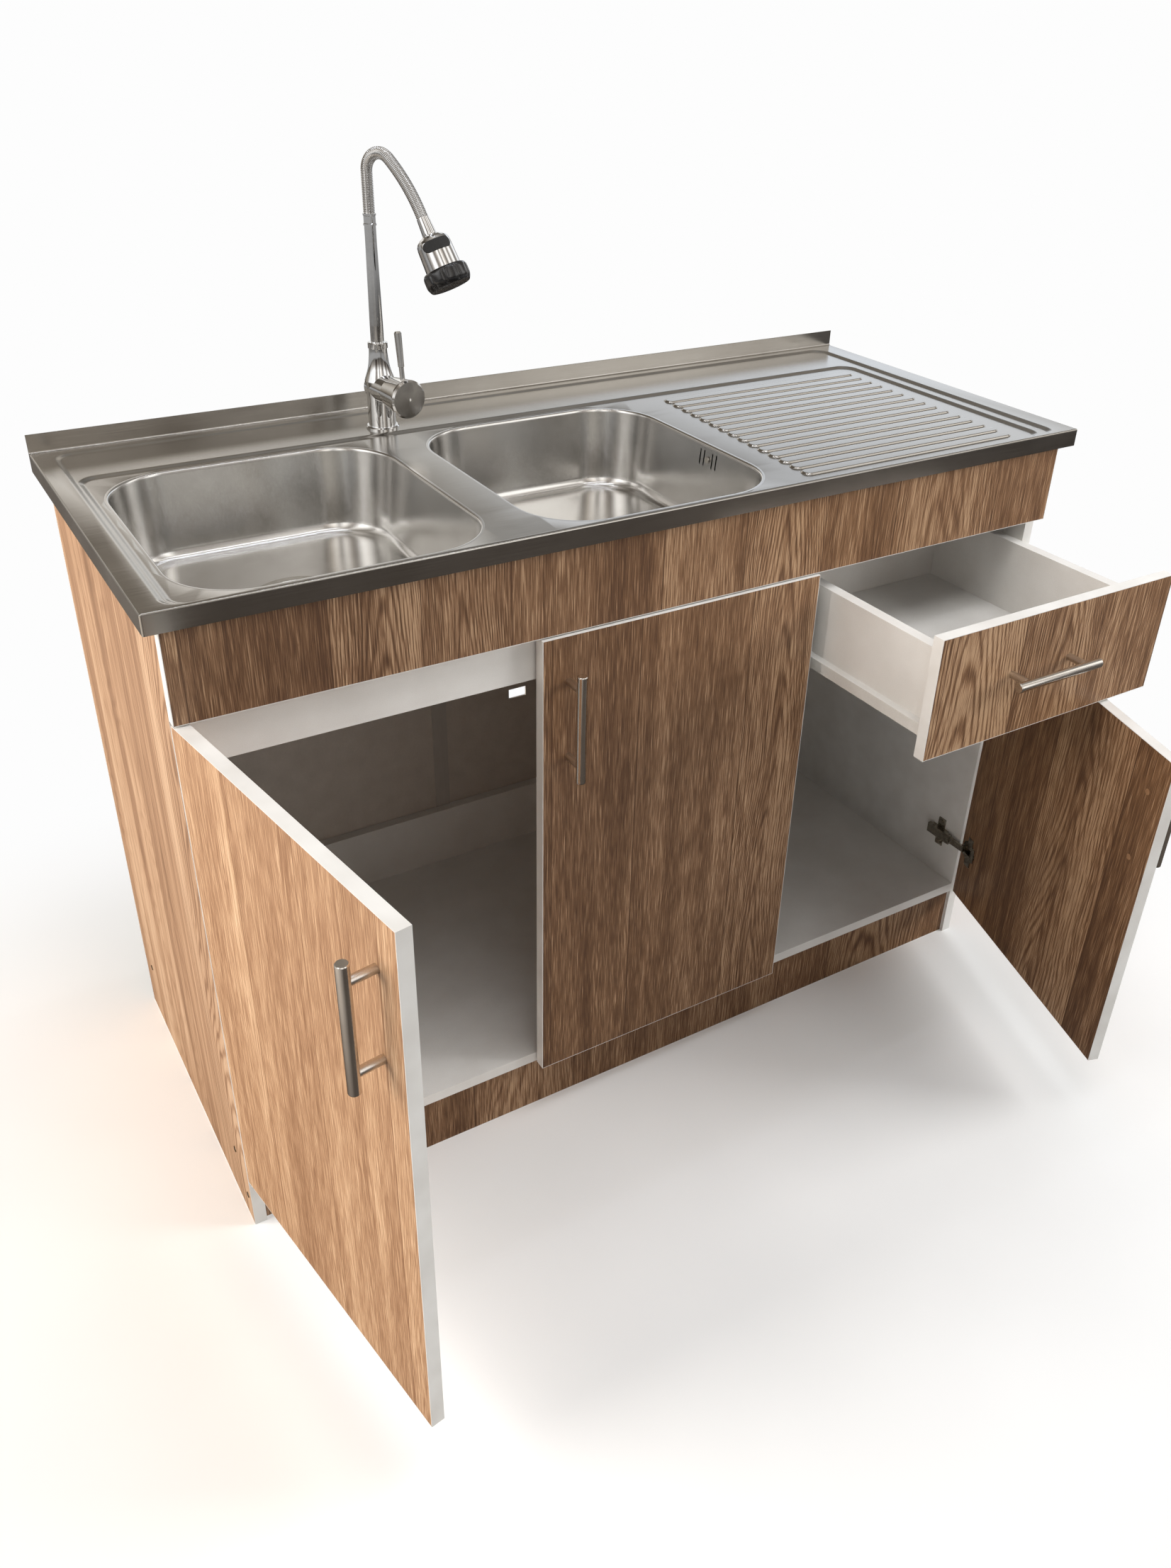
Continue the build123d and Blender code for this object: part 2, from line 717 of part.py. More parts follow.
def hose_point(height, reach):
    """A point of the spout's bending plane."""
    return Vector(tap_x, tap_y, height) + spout_heading * reach


def hose_stations():
    """Place and heading along the hose's centre line, as a function of the length run."""
    start = spout_end + spout_collar_height
    bend = math.radians(hose_bend_turn)
    end = math.radians(hose_end_turn)
    bend_length = hose_bend_radius * bend
    fall_length = hose_fall_radius * (end - bend)
    total = hose_rise + bend_length + fall_length + hose_tail

    def station(run):
        if run <= hose_rise:
            return 0.0, start + run, 0.0
        run -= hose_rise
        top = start + hose_rise
        if run <= bend_length:
            turn = run / hose_bend_radius
            return hose_bend_radius * (1 - math.cos(turn)), top + hose_bend_radius * math.sin(turn), turn
        run -= bend_length
        reach = hose_bend_radius * (1 - math.cos(bend))
        height = top + hose_bend_radius * math.sin(bend)
        turn = bend + min(run, fall_length) / hose_fall_radius
        reach += hose_fall_radius * (math.cos(bend) - math.cos(turn))
        height += hose_fall_radius * (math.sin(turn) - math.sin(bend))
        rest = max(0.0, run - fall_length)
        return reach + rest * math.sin(end), height + rest * math.cos(end), turn

    return station, total


def hose_plane(station, run):
    """The plane square to the hose at a length run, with a steady X axis."""
    reach, height, turn = station(run)
    heading = spout_heading * math.sin(turn) + Vector(0, 0, math.cos(turn))
    steady = Vector(0, 0, 1).cross(spout_heading)
    return Plane(origin=hose_point(height, reach), x_dir=steady, z_dir=heading)


def spout_hose():
    """The flexible ribbed hose: a ruled loft through four circles a rib, with its bore."""
    station, total = hose_stations()
    pitch = total / hose_rib_count
    shares = ((0.0, hose_radius - hose_groove), (0.22, hose_radius), (0.66, hose_radius),
              (0.88, hose_radius - hose_groove))
    circles = []
    for rib in range(hose_rib_count):
        for share, radius in shares:
            circles.append((hose_plane(station, (rib + share) * pitch) * Circle(radius)).face())
    circles.append((hose_plane(station, total) * Circle(hose_radius - hose_groove)).face())
    outer = loft(circles, ruled=True)
    steps = 2 * hose_rib_count
    bore = loft([(hose_plane(station, total * step / steps) * Circle(hose_bore)).face()
                 for step in range(steps + 1)], ruled=True)
    return outer - bore


def spout_pipe():
    """The chrome pipe that swivels in the body and tapers upwards, and the ringed collar on its top."""
    body_top = ledge_level + tap_neck_height + tap_collar_height
    low = body_top - spout_socket + 0.5
    taper_low = body_top + spout_taper_start
    pipe = turned([
        (spout_bore, low), (spout_radius, low), (spout_radius, taper_low),
        (spout_top_radius, taper_low + spout_taper_length), (spout_top_radius, spout_end),
        (spout_bore, spout_end)])
    waist = spout_collar_radius - 0.7
    collar = turned([
        (hose_bore, 0), (spout_collar_radius, 0), (spout_collar_radius, 2), (waist, 2.6),
        (waist, spout_collar_height - 2.6), (spout_collar_radius, spout_collar_height - 2),
        (spout_collar_radius, spout_collar_height), (hose_bore, spout_collar_height)])
    return {
        "spout_pipe": Pos(tap_x, tap_y, 0) * pipe,
        "spout_collar": Pos(tap_x, tap_y, spout_end) * collar,
    }


def head_place():
    """The spray head's own frame: Z along the head, X to the outside of the bend."""
    station, total = hose_stations()
    reach, height, turn = station(total)
    heading = spout_heading * math.sin(turn) + Vector(0, 0, math.cos(turn))
    outward = spout_heading * -math.cos(turn) + Vector(0, 0, math.sin(turn))
    return Plane(origin=hose_point(height, reach), x_dir=outward, z_dir=heading)


def spray_head():
    """The spray head: ferrule, body, button, and the ring that carries the nozzle face."""
    neck = ferrule_length
    low = neck + head_length
    ferrule = turned([
        (hose_bore, 0), (hose_radius + 0.3, 0), (ferrule_radius, neck - 2), (ferrule_radius, neck),
        (hose_bore, neck)])
    sleeve_low = low + spray_sleeve_length
    cavity = head_top_radius - head_wall
    body = turned([
        (hose_bore, neck), (ferrule_radius + 0.4, neck), (ferrule_radius + 5, neck + 2),
        (head_top_radius - 2.3, neck + 5), (head_top_radius - 0.6, neck + 8), (head_top_radius, neck + 12),
        (head_radius, low), (spray_sleeve_radius, low), (spray_sleeve_radius, sleeve_low),
        (cavity, sleeve_low), (cavity, neck + 10), (hose_bore, neck + 6)])
    turn = Rot(0, 0, head_button_turn)
    middle = neck + button_middle
    outer = head_top_radius + button_proud
    inner = outer - button_thickness
    side = Plane(origin=(0, 0, middle), x_dir=(0, 1, 0), z_dir=(1, 0, 0))
    pad = extrude(side * SlotOverall(button_width, button_height), outer + 1)
    pad &= disc(outer, neck, low) - disc(inner, neck, low)
    pad += bar_x(button_stem_radius, (cavity - 3, inner + 1), 0, middle)
    pocket = extrude(side * SlotOverall(button_width + 2 * button_gap, button_height + 2 * button_gap),
                     2 * outer)
    pocket -= disc(inner - button_travel - 0.1, neck, low)
    body -= turn * pocket
    body -= turn * bar_x(button_stem_radius + running_clearance, (0, 2 * outer), 0, middle)
    ring_high = low - 1.5
    ring_low = ring_high + spray_ring_length
    bore = spray_sleeve_radius + running_clearance
    face = ring_low - spray_face_thickness
    ring = turned([
        (bore, low + 0.3), (head_radius + 0.4, low + 0.3), (head_radius + 0.4, ring_high),
        (spray_ring_radius - 3, ring_high), (spray_ring_radius - 0.8, ring_high + 2.2),
        (spray_ring_radius, ring_high + 5), (spray_ring_radius, ring_low - 6),
        (spray_ring_radius - 3.5, ring_low), (0, ring_low), (0, face), (bore, face)])
    for index in range(spray_grooves):
        groove = bar_z(spray_groove_radius, spray_ring_radius, 0, (ring_high + 3, ring_low + 1))
        ring -= Rot(0, 0, index * 360 / spray_grooves) * groove
    for index in range(spray_holes):
        hole = bar_z(0.9, spray_ring_radius - 9, 0, (face - 1, ring_low + 1))
        ring -= Rot(0, 0, index * 360 / spray_holes) * hole
    ring -= disc(5.0, face - 1, ring_low + 1)
    place = head_place().location
    return {
        "hose_ferrule": place * ferrule,
        "spray_body": place * body,
        "spray_button": place * turn * pad,
        "spray_ring": place * ring,
    }


# ---- Hinges, in a door's own frame: x from the hinge edge towards the handle, y from its closed front face
def hinge_levels(top):
    """The two heights of a door's hinges."""
    return door_bottom + hinge_inset, top - hinge_inset


def hinge_cup(z):
    """The cup pressed into the door, its flange, and the slot and eye that the arm's nose turns in."""
    floor_y = board - cup_depth + cup_clearance
    cup = bar_y(cup_radius - cup_clearance, cup_x, (floor_y, board), z)
    flange_y = (board, board + cup_flange)
    cup += block((cup_x - cup_flange_width / 2 + 1, cup_x + cup_flange_width / 2 + 1), flange_y,
                 (z - cup_flange_height / 2, z + cup_flange_height / 2))
    cup += block((cup_x + 2 - cup_ear_width / 2, cup_x + 2 + cup_ear_width / 2), flange_y,
                 (z - cup_ear_height / 2, z + cup_ear_height / 2))
    half_slot = arm_half_width + arm_side_clearance
    cup -= block((cup_edge - 1, cup_pocket_end), (floor_y + 0.4, board + 3), (z - half_slot, z + half_slot))
    half_pin = pivot_pin_length / 2 + running_clearance
    return cup - bar_z(pivot_pin_radius + running_clearance, pivot_x, pivot_y, (z - half_pin, z + half_pin))


def hinge_arm(z):
    """The arm: an eye and pin at the pivot, a nose out of the cup, and a leg back to the mounting plate."""
    half = (z - arm_half_width, z + arm_half_width)
    leg_end = arm_leg_x + arm_leg_thickness
    nose_y = (pivot_y - arm_thickness / 2, pivot_y + arm_thickness / 2)
    arm = bar_z(arm_eye_radius, pivot_x, pivot_y, half)
    arm += block((pivot_x, leg_end), nose_y, half)
    arm += block((arm_leg_x, leg_end), (nose_y[0], arm_back), half)
    arm += block((arm_leg_x, arm_leg_x + arm_body_height), (arm_body_front, arm_back),
                 (z - arm_body_half_width, z + arm_body_half_width))
    half_pin = pivot_pin_length / 2
    return arm + bar_z(pivot_pin_radius, pivot_x, pivot_y, (z - half_pin, z + half_pin))


def hinge_plate(z, overlay):
    """The mounting plate on a panel whose inner face is one overlay in from the door's hinge edge."""
    plate = block((overlay, arm_leg_x), (plate_front, plate_back),
                  (z - arm_body_half_width, z + arm_body_half_width))
    plate += block((overlay, overlay + plate_wing_thickness), (plate_wing_front, plate_wing_back),
                   (z - plate_wing_half_height, z + plate_wing_half_height))
    for screw in plate_screws(z, overlay):
        plate -= screw
    return plate


def plate_screws(z, overlay):
    """The two screws of a mounting plate."""
    y = (plate_wing_front + plate_wing_back) / 2
    face = overlay + plate_wing_thickness
    screws = []
    for side in (-plate_screw_z, plate_screw_z):
        shaft = bar_x(screw_radius, (overlay - screw_grip, face), y, z + side)
        head = bar_x(screw_head_radius, (face, face + screw_head_height), y, z + side)
        screws.append(shaft + head)
    return screws


def door_frames():
    """Each door's hinge edge, side, overlay on its panel, top and width."""
    return {
        "left": (0.0, 1, board, door_top, left_door_width),
        "middle": (middle_door_right, -1, middle_door_right - partition_left, door_top, middle_door_width),
        "right": (unit_width, -1, board, right_door_top, unit_width - right_front_left),
    }


def on_side(shape, edge, side):
    """Place a shape of a door's own frame at its hinge edge, mirrored for a door hinged on its right."""
    if side < 0:
        shape = mirror(shape, Plane.YZ)
    return Pos(edge, 0, 0) * shape


def carcass_hinge_parts():
    """The fixed halves of the six hinges."""
    arms, plates = [], []
    for edge, side, overlay, top, _ in door_frames().values():
        for z in hinge_levels(top):
            arms.append(on_side(hinge_arm(z), edge, side))
            plates.append(on_side(hinge_plate(z, overlay), edge, side))
    return {"hinge_arms": group(arms), "hinge_mounting_plates": group(plates)}


def wood_screws():
    """The mounting plates' screws, and the screws through the side panels into the plinth and the floor."""
    screws = []
    for edge, side, overlay, top, _ in door_frames().values():
        for z in hinge_levels(top):
            screws += [on_side(screw, edge, side) for screw in plate_screws(z, overlay)]
    places = [(plinth_middle, plinth_height / 2), (plinth_middle + 32, plinth_height + board / 2),
              (carcass_back - 40, plinth_height + board / 2)]
    for y, z in places:
        for edge, side in ((0.0, 1), (unit_width, -1)):
            shaft = bar_x(screw_radius, (0, board + 30), y, z)
            cap = bar_x(cap_radius, (-cap_height, 0), y, z)
            screws.append(on_side(shaft + cap, edge, side))
    return screws


# ---- Handles
def bar_handle(x, z, upright):
    """A bar handle on a front: the bar, and two posts with bolts whose heads lie flush in the board."""
    bar_front = -(handle_proud - handle_radius)
    half = handle_length / 2
    if upright:
        bar = bar_z(handle_radius, x, bar_front, (z - half, z + half))
        places = [(x, z - handle_centres / 2), (x, z + handle_centres / 2)]
    else:
        bar = bar_x(handle_radius, (x - half, x + half), bar_front, z)
        places = [(x - handle_centres / 2, z), (x + handle_centres / 2, z)]
    posts = []
    for post_x, post_z in places:
        post = bar_y(post_radius, post_x, (bar_front, 0), post_z)
        bar -= post
        post += bar_y(post_bolt_radius, post_x, (0, board), post_z)
        post += bar_y(post_head_radius, post_x, (board - post_head_depth, board), post_z)
        posts.append(post)
    return bar, group(posts)


# ---- Doors
def door(edge, side, top, width):
    """A door closed in its place: board, cups, handle bar and handle posts."""
    leaf = block((0, width), (0, board), (door_bottom, top))
    cups = []
    for z in hinge_levels(top):
        leaf -= bar_y(cup_radius, cup_x, (board - cup_depth, board), z)
        cups.append(hinge_cup(z))
    bar, posts = bar_handle(width - handle_side_inset, top - handle_top_inset, True)
    leaf -= posts
    return {
        "door_panel": on_side(leaf, edge, side),
        "door_hinge_cups": on_side(group(cups), edge, side),
        "door_handle_bar": on_side(bar, edge, side),
        "door_handle_posts": on_side(posts, edge, side),
    }


def doors():
    """The three doors, with the left and right ones swung open about their hinge pins."""
    opened = {"left": -left_door_open, "middle": 0.0, "right": right_door_open}
    pieces = {}
    for name, (edge, side, _, top, width) in door_frames().items():
        pin = Axis((edge + side * pivot_x, pivot_y, 0), (0, 0, 1))
        for part_name, shape in door(edge, side, top, width).items():
            pieces[name + "_" + part_name] = shape.rotate(pin, opened[name])
    return pieces


# ---- Drawer
def drawer():
    """The drawer, pulled open: front, sides, back, bottom and handle."""
    side_x = (partition_right + runner_space, right_panel_x - runner_space)
    side_z = (drawer_side_bottom, drawer_side_bottom + drawer_side_height)
    depth = (board, board + drawer_depth)
    left = block((side_x[0], side_x[0] + board), depth, side_z)
    right = block((side_x[1] - board, side_x[1]), depth, side_z)
    inner = (side_x[0] + board, side_x[1] - board)
    bottom_z = drawer_side_bottom + drawer_bottom_raise
    groove_z = (bottom_z - groove_clearance, bottom_z + drawer_bottom_thickness + groove_clearance)
    tongue = drawer_groove - groove_clearance
    groove = block((inner[0] - drawer_groove, inner[1] + drawer_groove),
                   (depth[0] - 1, depth[1] + 1), groove_z)
    bottom = block((inner[0] - tongue, inner[1] + tongue),
                   (depth[0], depth[1] - groove_clearance),
                   (bottom_z, bottom_z + drawer_bottom_thickness))
    back = block(inner, (depth[1] - board, depth[1]), (groove_z[1], side_z[1]))
    front_z = (drawer_front_bottom, door_top)
    front = block((right_front_left, unit_width), (0, board), front_z)
    bar, posts = bar_handle(right_front_left + drawer_handle_left, front_z[1] - drawer_handle_drop, False)
    pieces = {
        "drawer_front": front - posts,
        "drawer_sides": group([left - groove, right - groove]),
        "drawer_back": back,
        "drawer_bottom": bottom,
        "drawer_handle_bar": bar,
        "drawer_handle_posts": posts,
    }
    runners, rollers = drawer_runners()
    pieces["drawer_runners"] = runners
    pieces["drawer_rollers"] = rollers
    return {name: Pos(0, -drawer_open, 0) * shape for name, shape in pieces.items()}


def mirrored_pair(shape):
    """A runner part at the partition and its mirror image at the right side panel."""
    middle = (partition_right + right_panel_x) / 2
    return group([shape, mirror(shape, Plane(origin=(middle, 0, 0), z_dir=(1, 0, 0)))])


def runner_levels():
    """The channel's two flanges, the drawer member's upper flange and the two rollers' axes."""
    low = drawer_side_bottom - runner_sheet - 2
    high = low + runner_channel_height
    flange_top = high - runner_sheet - runner_flange_drop
    front_axis = flange_top - runner_sheet - roller_gap - roller_radius
    rear_axis = low + runner_sheet + roller_gap + roller_radius
    return low, high, flange_top, front_axis, rear_axis


def roller(x, y, z):
    """A nylon roller on an X axle."""
    wheel = bar_x(roller_radius, (x, x + roller_width), y, z)
    return wheel - bar_x(axle_radius + running_clearance, (x, x + roller_width), y, z)


def cabinet_runners():
    """The channels on the partition and the side panel, each with its front roller and axle."""
    low, high, _, front_axis, _ = runner_levels()
    wall = partition_right
    front = carcass_front + runner_front
    y_range = (front, front + runner_length)
    channel_front = front + roller_end + roller_radius + 2
    web = block((wall, wall + runner_sheet), y_range, (low, high))
    lip_x = (wall, wall + runner_channel_width)
    lower = block(lip_x, (channel_front, y_range[1]), (low, low + runner_sheet))
    upper = block(lip_x, (channel_front, y_range[1]), (high - runner_sheet, high))
    axle_y = front + roller_end
    wheel_x = wall + runner_sheet + 0.8
    axle = bar_x(axle_radius, (wall, wheel_x + roller_width + 0.6), axle_y, front_axis)
    wheel = roller(wheel_x, axle_y, front_axis)
    return {
        "cabinet_runners": mirrored_pair(web + lower + upper + axle),
        "cabinet_rollers": mirrored_pair(wheel),
    }


def drawer_runners():
    """The members under the drawer's sides, each with its rear roller and axle, with the drawer closed."""
    _, _, flange_top, _, rear_axis = runner_levels()
    face = partition_right + runner_space
    web_x = (face - runner_sheet, face)
    y_range = (board, board + runner_length)
    web = block(web_x, y_range, (drawer_side_bottom - runner_sheet, flange_top))
    shelf = block((face, face + board - 2), y_range, (drawer_side_bottom - runner_sheet, drawer_side_bottom))
    flange = block((partition_right + 2.5, web_x[0]), y_range, (flange_top - runner_sheet, flange_top))
    axle_y = y_range[1] - roller_end
    wheel_x = partition_right + 3.0
    axle = bar_x(axle_radius, (wheel_x - 0.6, web_x[0] + runner_sheet / 2), axle_y, rear_axis)
    return mirrored_pair(web + shelf + flange + axle), mirrored_pair(roller(wheel_x, axle_y, rear_axis))


def wastes():
    """The wastes of both bowls."""
    places = [Pos(*bowl_centre(span), 0) for span in (left_bowl_span, right_bowl_span)]
    return {
        "waste_bodies": group([place * waste_body() for place in places]),
        "waste_nuts": group([place * waste_nut() for place in places]),
        "left_strainer": places[0] * strainer(),
        "right_strainer": places[1] * strainer(),
    }


def main():
    """Build every piece and write it."""
    os.makedirs("parts", exist_ok=True)
    right_bowl = bowl(right_bowl_span)
    for cut in overflow_cuts():
        right_bowl -= cut
    pieces = {
        **side_panels(), **carcass_boards(), **back_panels(),
        "sink_deck": sink_deck(), "left_bowl": bowl(left_bowl_span), "right_bowl": right_bowl,
        **wastes(),
        "overflow_elbow": overflow_elbow(), "overflow_screw": overflow_screw(),
        "tap_body": tap_body(), **tap_fixings(), **tap_lever(), **spout_pipe(),
        "spout_hose": spout_hose(), **spray_head(),
        **carcass_hinge_parts(), "wood_screws": group(wood_screws()),
        **doors(), **drawer(), **cabinet_runners(),
    }
    for node, shape in pieces.items():
        save(node, shape)
    print(len(pieces), "nodes")


if __name__ == "__main__":
    main()
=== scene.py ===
"""Looks of the kitchen sink unit: laminated oak board, a pressed stainless steel top and a chrome tap.

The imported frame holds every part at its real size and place. This script dresses those parts, and makes the
pressed top, the bowls, the handle bars, the flexible spout and the spray ring anew as worked-out surfaces.
"""

from __future__ import annotations

import logging
import math
from dataclasses import dataclass
from enum import Enum
from typing import Sequence

import bmesh
import bpy
import numpy as np
from mathutils import Matrix, Vector
from mathutils.geometry import delaunay_2d_cdt


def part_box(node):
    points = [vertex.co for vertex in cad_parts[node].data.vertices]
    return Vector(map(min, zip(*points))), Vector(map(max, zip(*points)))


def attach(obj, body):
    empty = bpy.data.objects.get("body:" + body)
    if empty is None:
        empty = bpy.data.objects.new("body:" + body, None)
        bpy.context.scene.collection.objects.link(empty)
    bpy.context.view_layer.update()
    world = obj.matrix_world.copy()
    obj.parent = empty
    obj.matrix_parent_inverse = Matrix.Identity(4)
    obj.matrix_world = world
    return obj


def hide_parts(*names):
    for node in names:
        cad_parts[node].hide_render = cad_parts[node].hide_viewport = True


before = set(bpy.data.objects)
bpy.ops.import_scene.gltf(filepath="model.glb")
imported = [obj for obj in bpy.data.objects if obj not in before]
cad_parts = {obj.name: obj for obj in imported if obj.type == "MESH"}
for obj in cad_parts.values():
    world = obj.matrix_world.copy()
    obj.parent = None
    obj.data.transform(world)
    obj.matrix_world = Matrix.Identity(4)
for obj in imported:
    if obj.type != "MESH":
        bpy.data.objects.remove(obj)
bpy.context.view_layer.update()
LOG = logging.getLogger("sink_unit")

MM = 0.001
# Millimetres by which a fully round end falls short of a half circle, so that its two corners stay apart.
ROUND_GAP = 0.01
# The most of a side that one rounded corner may take, so that the corners at its two ends stay apart.
SIDE_SHARE = 0.499
# The sizes below are millimetres: x from the left side panel's outer face, y back from the closed doors'
# front faces, z up from the floor. The frame's own origin lies at this point of them.
FRAME_ORIGIN = np.array([580.0, 30.5, 0.0])
# How far the drawer stands out at rest.
DRAWER_OPEN = 205.0


class Axis(Enum):
    """A direction of the frame."""

    X = 0
    Y = 1
    Z = 2


@dataclass(frozen=True)
class Hinge:
    """The place of a door's hinge pin, and how far the door stands open at rest, in degrees."""

    x: float = 0.0
    y: float = 0.0
    opened: float = 0.0


LEFT_HINGE = Hinge(6.5, 6.3, -81.0)
RIGHT_HINGE = Hinge(1153.5, 6.3, 73.0)
CLOSED = Hinge()


def to_frame(points: np.ndarray) -> np.ndarray:
    """Turn points in the millimetres above into metres of the frame.

    Args:
        points: any array whose last axis is x, y, z.

    Returns:
        The same array in the frame.
    """
    return (np.asarray(points, float) - FRAME_ORIGIN) * MM


def linear(colour: str) -> tuple[float, float, float, float]:
    """Turn an sRGB hex colour to a linear one.

    Args:
        colour: six hex digits after a #.

    Returns:
        Linear red, green, blue and an alpha of 1.
    """
    parts = [int(colour[i:i + 2], 16) / 255 for i in (1, 3, 5)]
    return (*[p / 12.92 if p <= 0.04045 else ((p + 0.055) / 1.055) ** 2.4 for p in parts], 1.0)


# ---------------------------------------------------------------- materials
class Graph:
    """The nodes of a material or of the world, added one by one."""

    def __init__(self, tree: bpy.types.NodeTree) -> None:
        """Empty the tree and give it its texture coordinates.

        Args:
            tree: the node tree to fill.
        """
        self.tree = tree
        tree.nodes.clear()
        self.coordinates = self.add("TexCoord").outputs

    def add(self, kind: str, *inputs: object, stops: Sequence[tuple[float, str]] = (),
            **settings: object) -> bpy.types.Node:
        """Add a node with its settings and links.

        Args:
            kind: the node's type name, without its ShaderNode prefix.
            inputs: what each input takes, in the node's order, or one dictionary of that by the input's name
                or number. A socket is linked, a node stands for its first output, and all else is a value.
            stops: a colour ramp's stops, each a place and an sRGB hex colour.
            settings: properties of the node itself.

        Returns:
            The new node.
        """
        node = self.tree.nodes.new("ShaderNode" + kind)
        for name, value in settings.items():
            setattr(node, name, value)
        named = inputs[0] if inputs and isinstance(inputs[0], dict) else dict(enumerate(inputs))
        for name, value in named.items():
            source = value.outputs[0] if isinstance(value, bpy.types.Node) else value
            if isinstance(source, bpy.types.NodeSocket):
                self.tree.links.new(source, node.inputs[name])
            else:
                node.inputs[name].default_value = source
        if stops:
            elements = node.color_ramp.elements
            while len(elements) < len(stops):
                elements.new(0.5)
            for element, (place, colour) in zip(elements, stops):
                element.position = place
                element.color = linear(colour)
        return node


class Paint(Graph):
    """A material being made, on the piece's own coordinates."""

    def __init__(self, name: str) -> None:
        """Start a material.

        Args:
            name: the material's name.
        """
        self.material = bpy.data.materials.new(name)
        self.material.use_nodes = True
        super().__init__(self.material.node_tree)
        self.place = self.coordinates["Object"]

    def closed_place(self, hinge: Hinge) -> bpy.types.Node:
        """The place that a point of an open door has when the door is closed: turned back about the pin.

        Args:
            hinge: the door's hinge.

        Returns:
            A node that gives the place, in metres of the frame.
        """
        turn = math.radians(-hinge.opened)
        pin = Vector(to_frame(np.array([hinge.x, hinge.y, 0.0])))
        shift = pin - Matrix.Rotation(turn, 3, "Z") @ pin
        return self.add("Mapping", {"Vector": self.place, "Rotation": (0, 0, turn), "Location": shift})

    def close(self, inputs: dict[str, object]) -> bpy.types.Material:
        """End the material in one surface shader.

        Args:
            inputs: the shader's inputs by name.

        Returns:
            The finished material.
        """
        self.add("OutputMaterial", self.add("BsdfPrincipled", inputs))
        return self.material


@dataclass(frozen=True)
class Finish:
    """A finish with one colour, a mottling and a grain, all at real scales.

    The mottling varies the colour and the roughness over some centimetres, and the grain is a fine relief,
    stretched along one axis where the metal was brushed that way. A grain that is really finer than 0.5 mm
    is drawn at 0.5 to 3 mm, because it would not show otherwise.
    """

    name: str
    dark: str
    light: str
    roughness: tuple[float, float]
    metallic: float = 0.0
    mottle_mm: float = 40.0
    grain_mm: float = 1.0
    grain_depth_mm: float = 0.01
    stretch: tuple[float, float, float] = (1.0, 1.0, 1.0)
    coat: float = 0.0
    coat_roughness: float = 0.1
    ior: float = 1.45
    mottle_share: float = 0.6

    def make(self) -> bpy.types.Material:
        """Build the material: the mottling and the grain, added by their shares, pick colour and roughness.

        Returns:
            The material.
        """
        paint = Paint(self.name)
        add = paint.add
        broad = add("TexNoise", {"Vector": paint.place, "Scale": 1 / (self.mottle_mm * MM), "Detail": 3.0,
                                 "Roughness": 0.55})
        stretched = add("Mapping", {"Vector": paint.place, "Scale": self.stretch})
        fine = add("TexNoise", {"Vector": stretched, "Scale": 1 / (self.grain_mm * MM), "Roughness": 0.6})
        share = add("Math", add("Math", broad, self.mottle_share, operation="MULTIPLY"),
                    add("Math", fine, 1 - self.mottle_share, operation="MULTIPLY"), operation="ADD")
        low, high = self.roughness
        inputs = {
            "Base Color": add("ValToRGB", share, stops=((0.32, self.dark), (0.68, self.light))),
            "Metallic": self.metallic,
            "Roughness": add("MapRange", {"Value": share, "From Min": 0.3, "From Max": 0.7, "To Min": low,
                                          "To Max": high}),
            "Normal": add("Bump", {"Height": fine, "Strength": 1.0, "Distance": self.grain_depth_mm * MM}),
        }
        if self.metallic == 0.0:
            inputs["IOR"] = self.ior
        if self.coat:
            inputs |= {"Coat Weight": self.coat, "Coat Roughness": self.coat_roughness}
        return paint.close(inputs)


# Melamine-faced chipboard, pressed on a fine textured plate: near white with a faint pearl grain.
WHITE_MELAMINE = Finish("white_melamine", "#dddad5", "#e9e7e3", (0.36, 0.46), mottle_mm=60, grain_mm=0.9,
                        grain_depth_mm=0.015)
# Lacquered hardboard, smooth side in: warm grey with faint fibres pressed flat.
GREY_HARDBOARD = Finish("lacquered_hardboard", "#bdb4aa", "#cac1b7", (0.45, 0.6), mottle_mm=25, grain_mm=2.5,
                        grain_depth_mm=0.03)
# Extruded vinyl strip: even grey, with faint draw lines along its length.
GREY_STRIP = Finish("extruded_pvc_strip", "#b1aba4", "#bbb5ae", (0.4, 0.5), mottle_mm=30, grain_mm=3.0,
                    stretch=(1, 1, 0.05))
# Cold-rolled 304 sheet, brushed along its length: long fine streaks and soft, wide highlights.
BRUSHED_TOP = Finish("brushed_304_sheet", "#aba7a1", "#c1beb9", (0.18, 0.26), 1.0, mottle_mm=120,
                     grain_mm=1.1, grain_depth_mm=0.001, stretch=(0.015, 1, 1))
# Deep-drawn 304, satin polished round the bowl: smoother, with cloudy patches from the wheel.
SATIN_BOWL = Finish("satin_drawn_304", "#c6c4c1", "#dad9d7", (0.16, 0.23), 1.0, mottle_mm=90, grain_mm=0.8,
                    grain_depth_mm=0.0008, stretch=(1, 1, 0.2))
# Pressed and tumbled 304, as on wastes: bright, with the small dents of the tumbling.
SATIN_WASTE = Finish("polished_304_pressing", "#a7a39c", "#c6c3bd", (0.14, 0.24), 1.0, mottle_mm=20,
                     grain_mm=0.8, grain_depth_mm=0.004)
# Decorative chrome plate on brass: mirror bright, with the faintest wiping marks.
CHROME = Finish("chrome_plate", "#c6c6c6", "#d6d6d6", (0.035, 0.085), 1.0, mottle_mm=25, grain_mm=3.0,
                grain_depth_mm=0.002)
# Chrome over a brushed hub: the same colour with a short, upright brushing under it.
SATIN_CHROME = Finish("satin_chrome_plate", "#bcbab7", "#cbc9c6", (0.08, 0.14), 1.0, mottle_mm=12,
                      grain_mm=0.6, grain_depth_mm=0.002, stretch=(1, 1, 0.08))
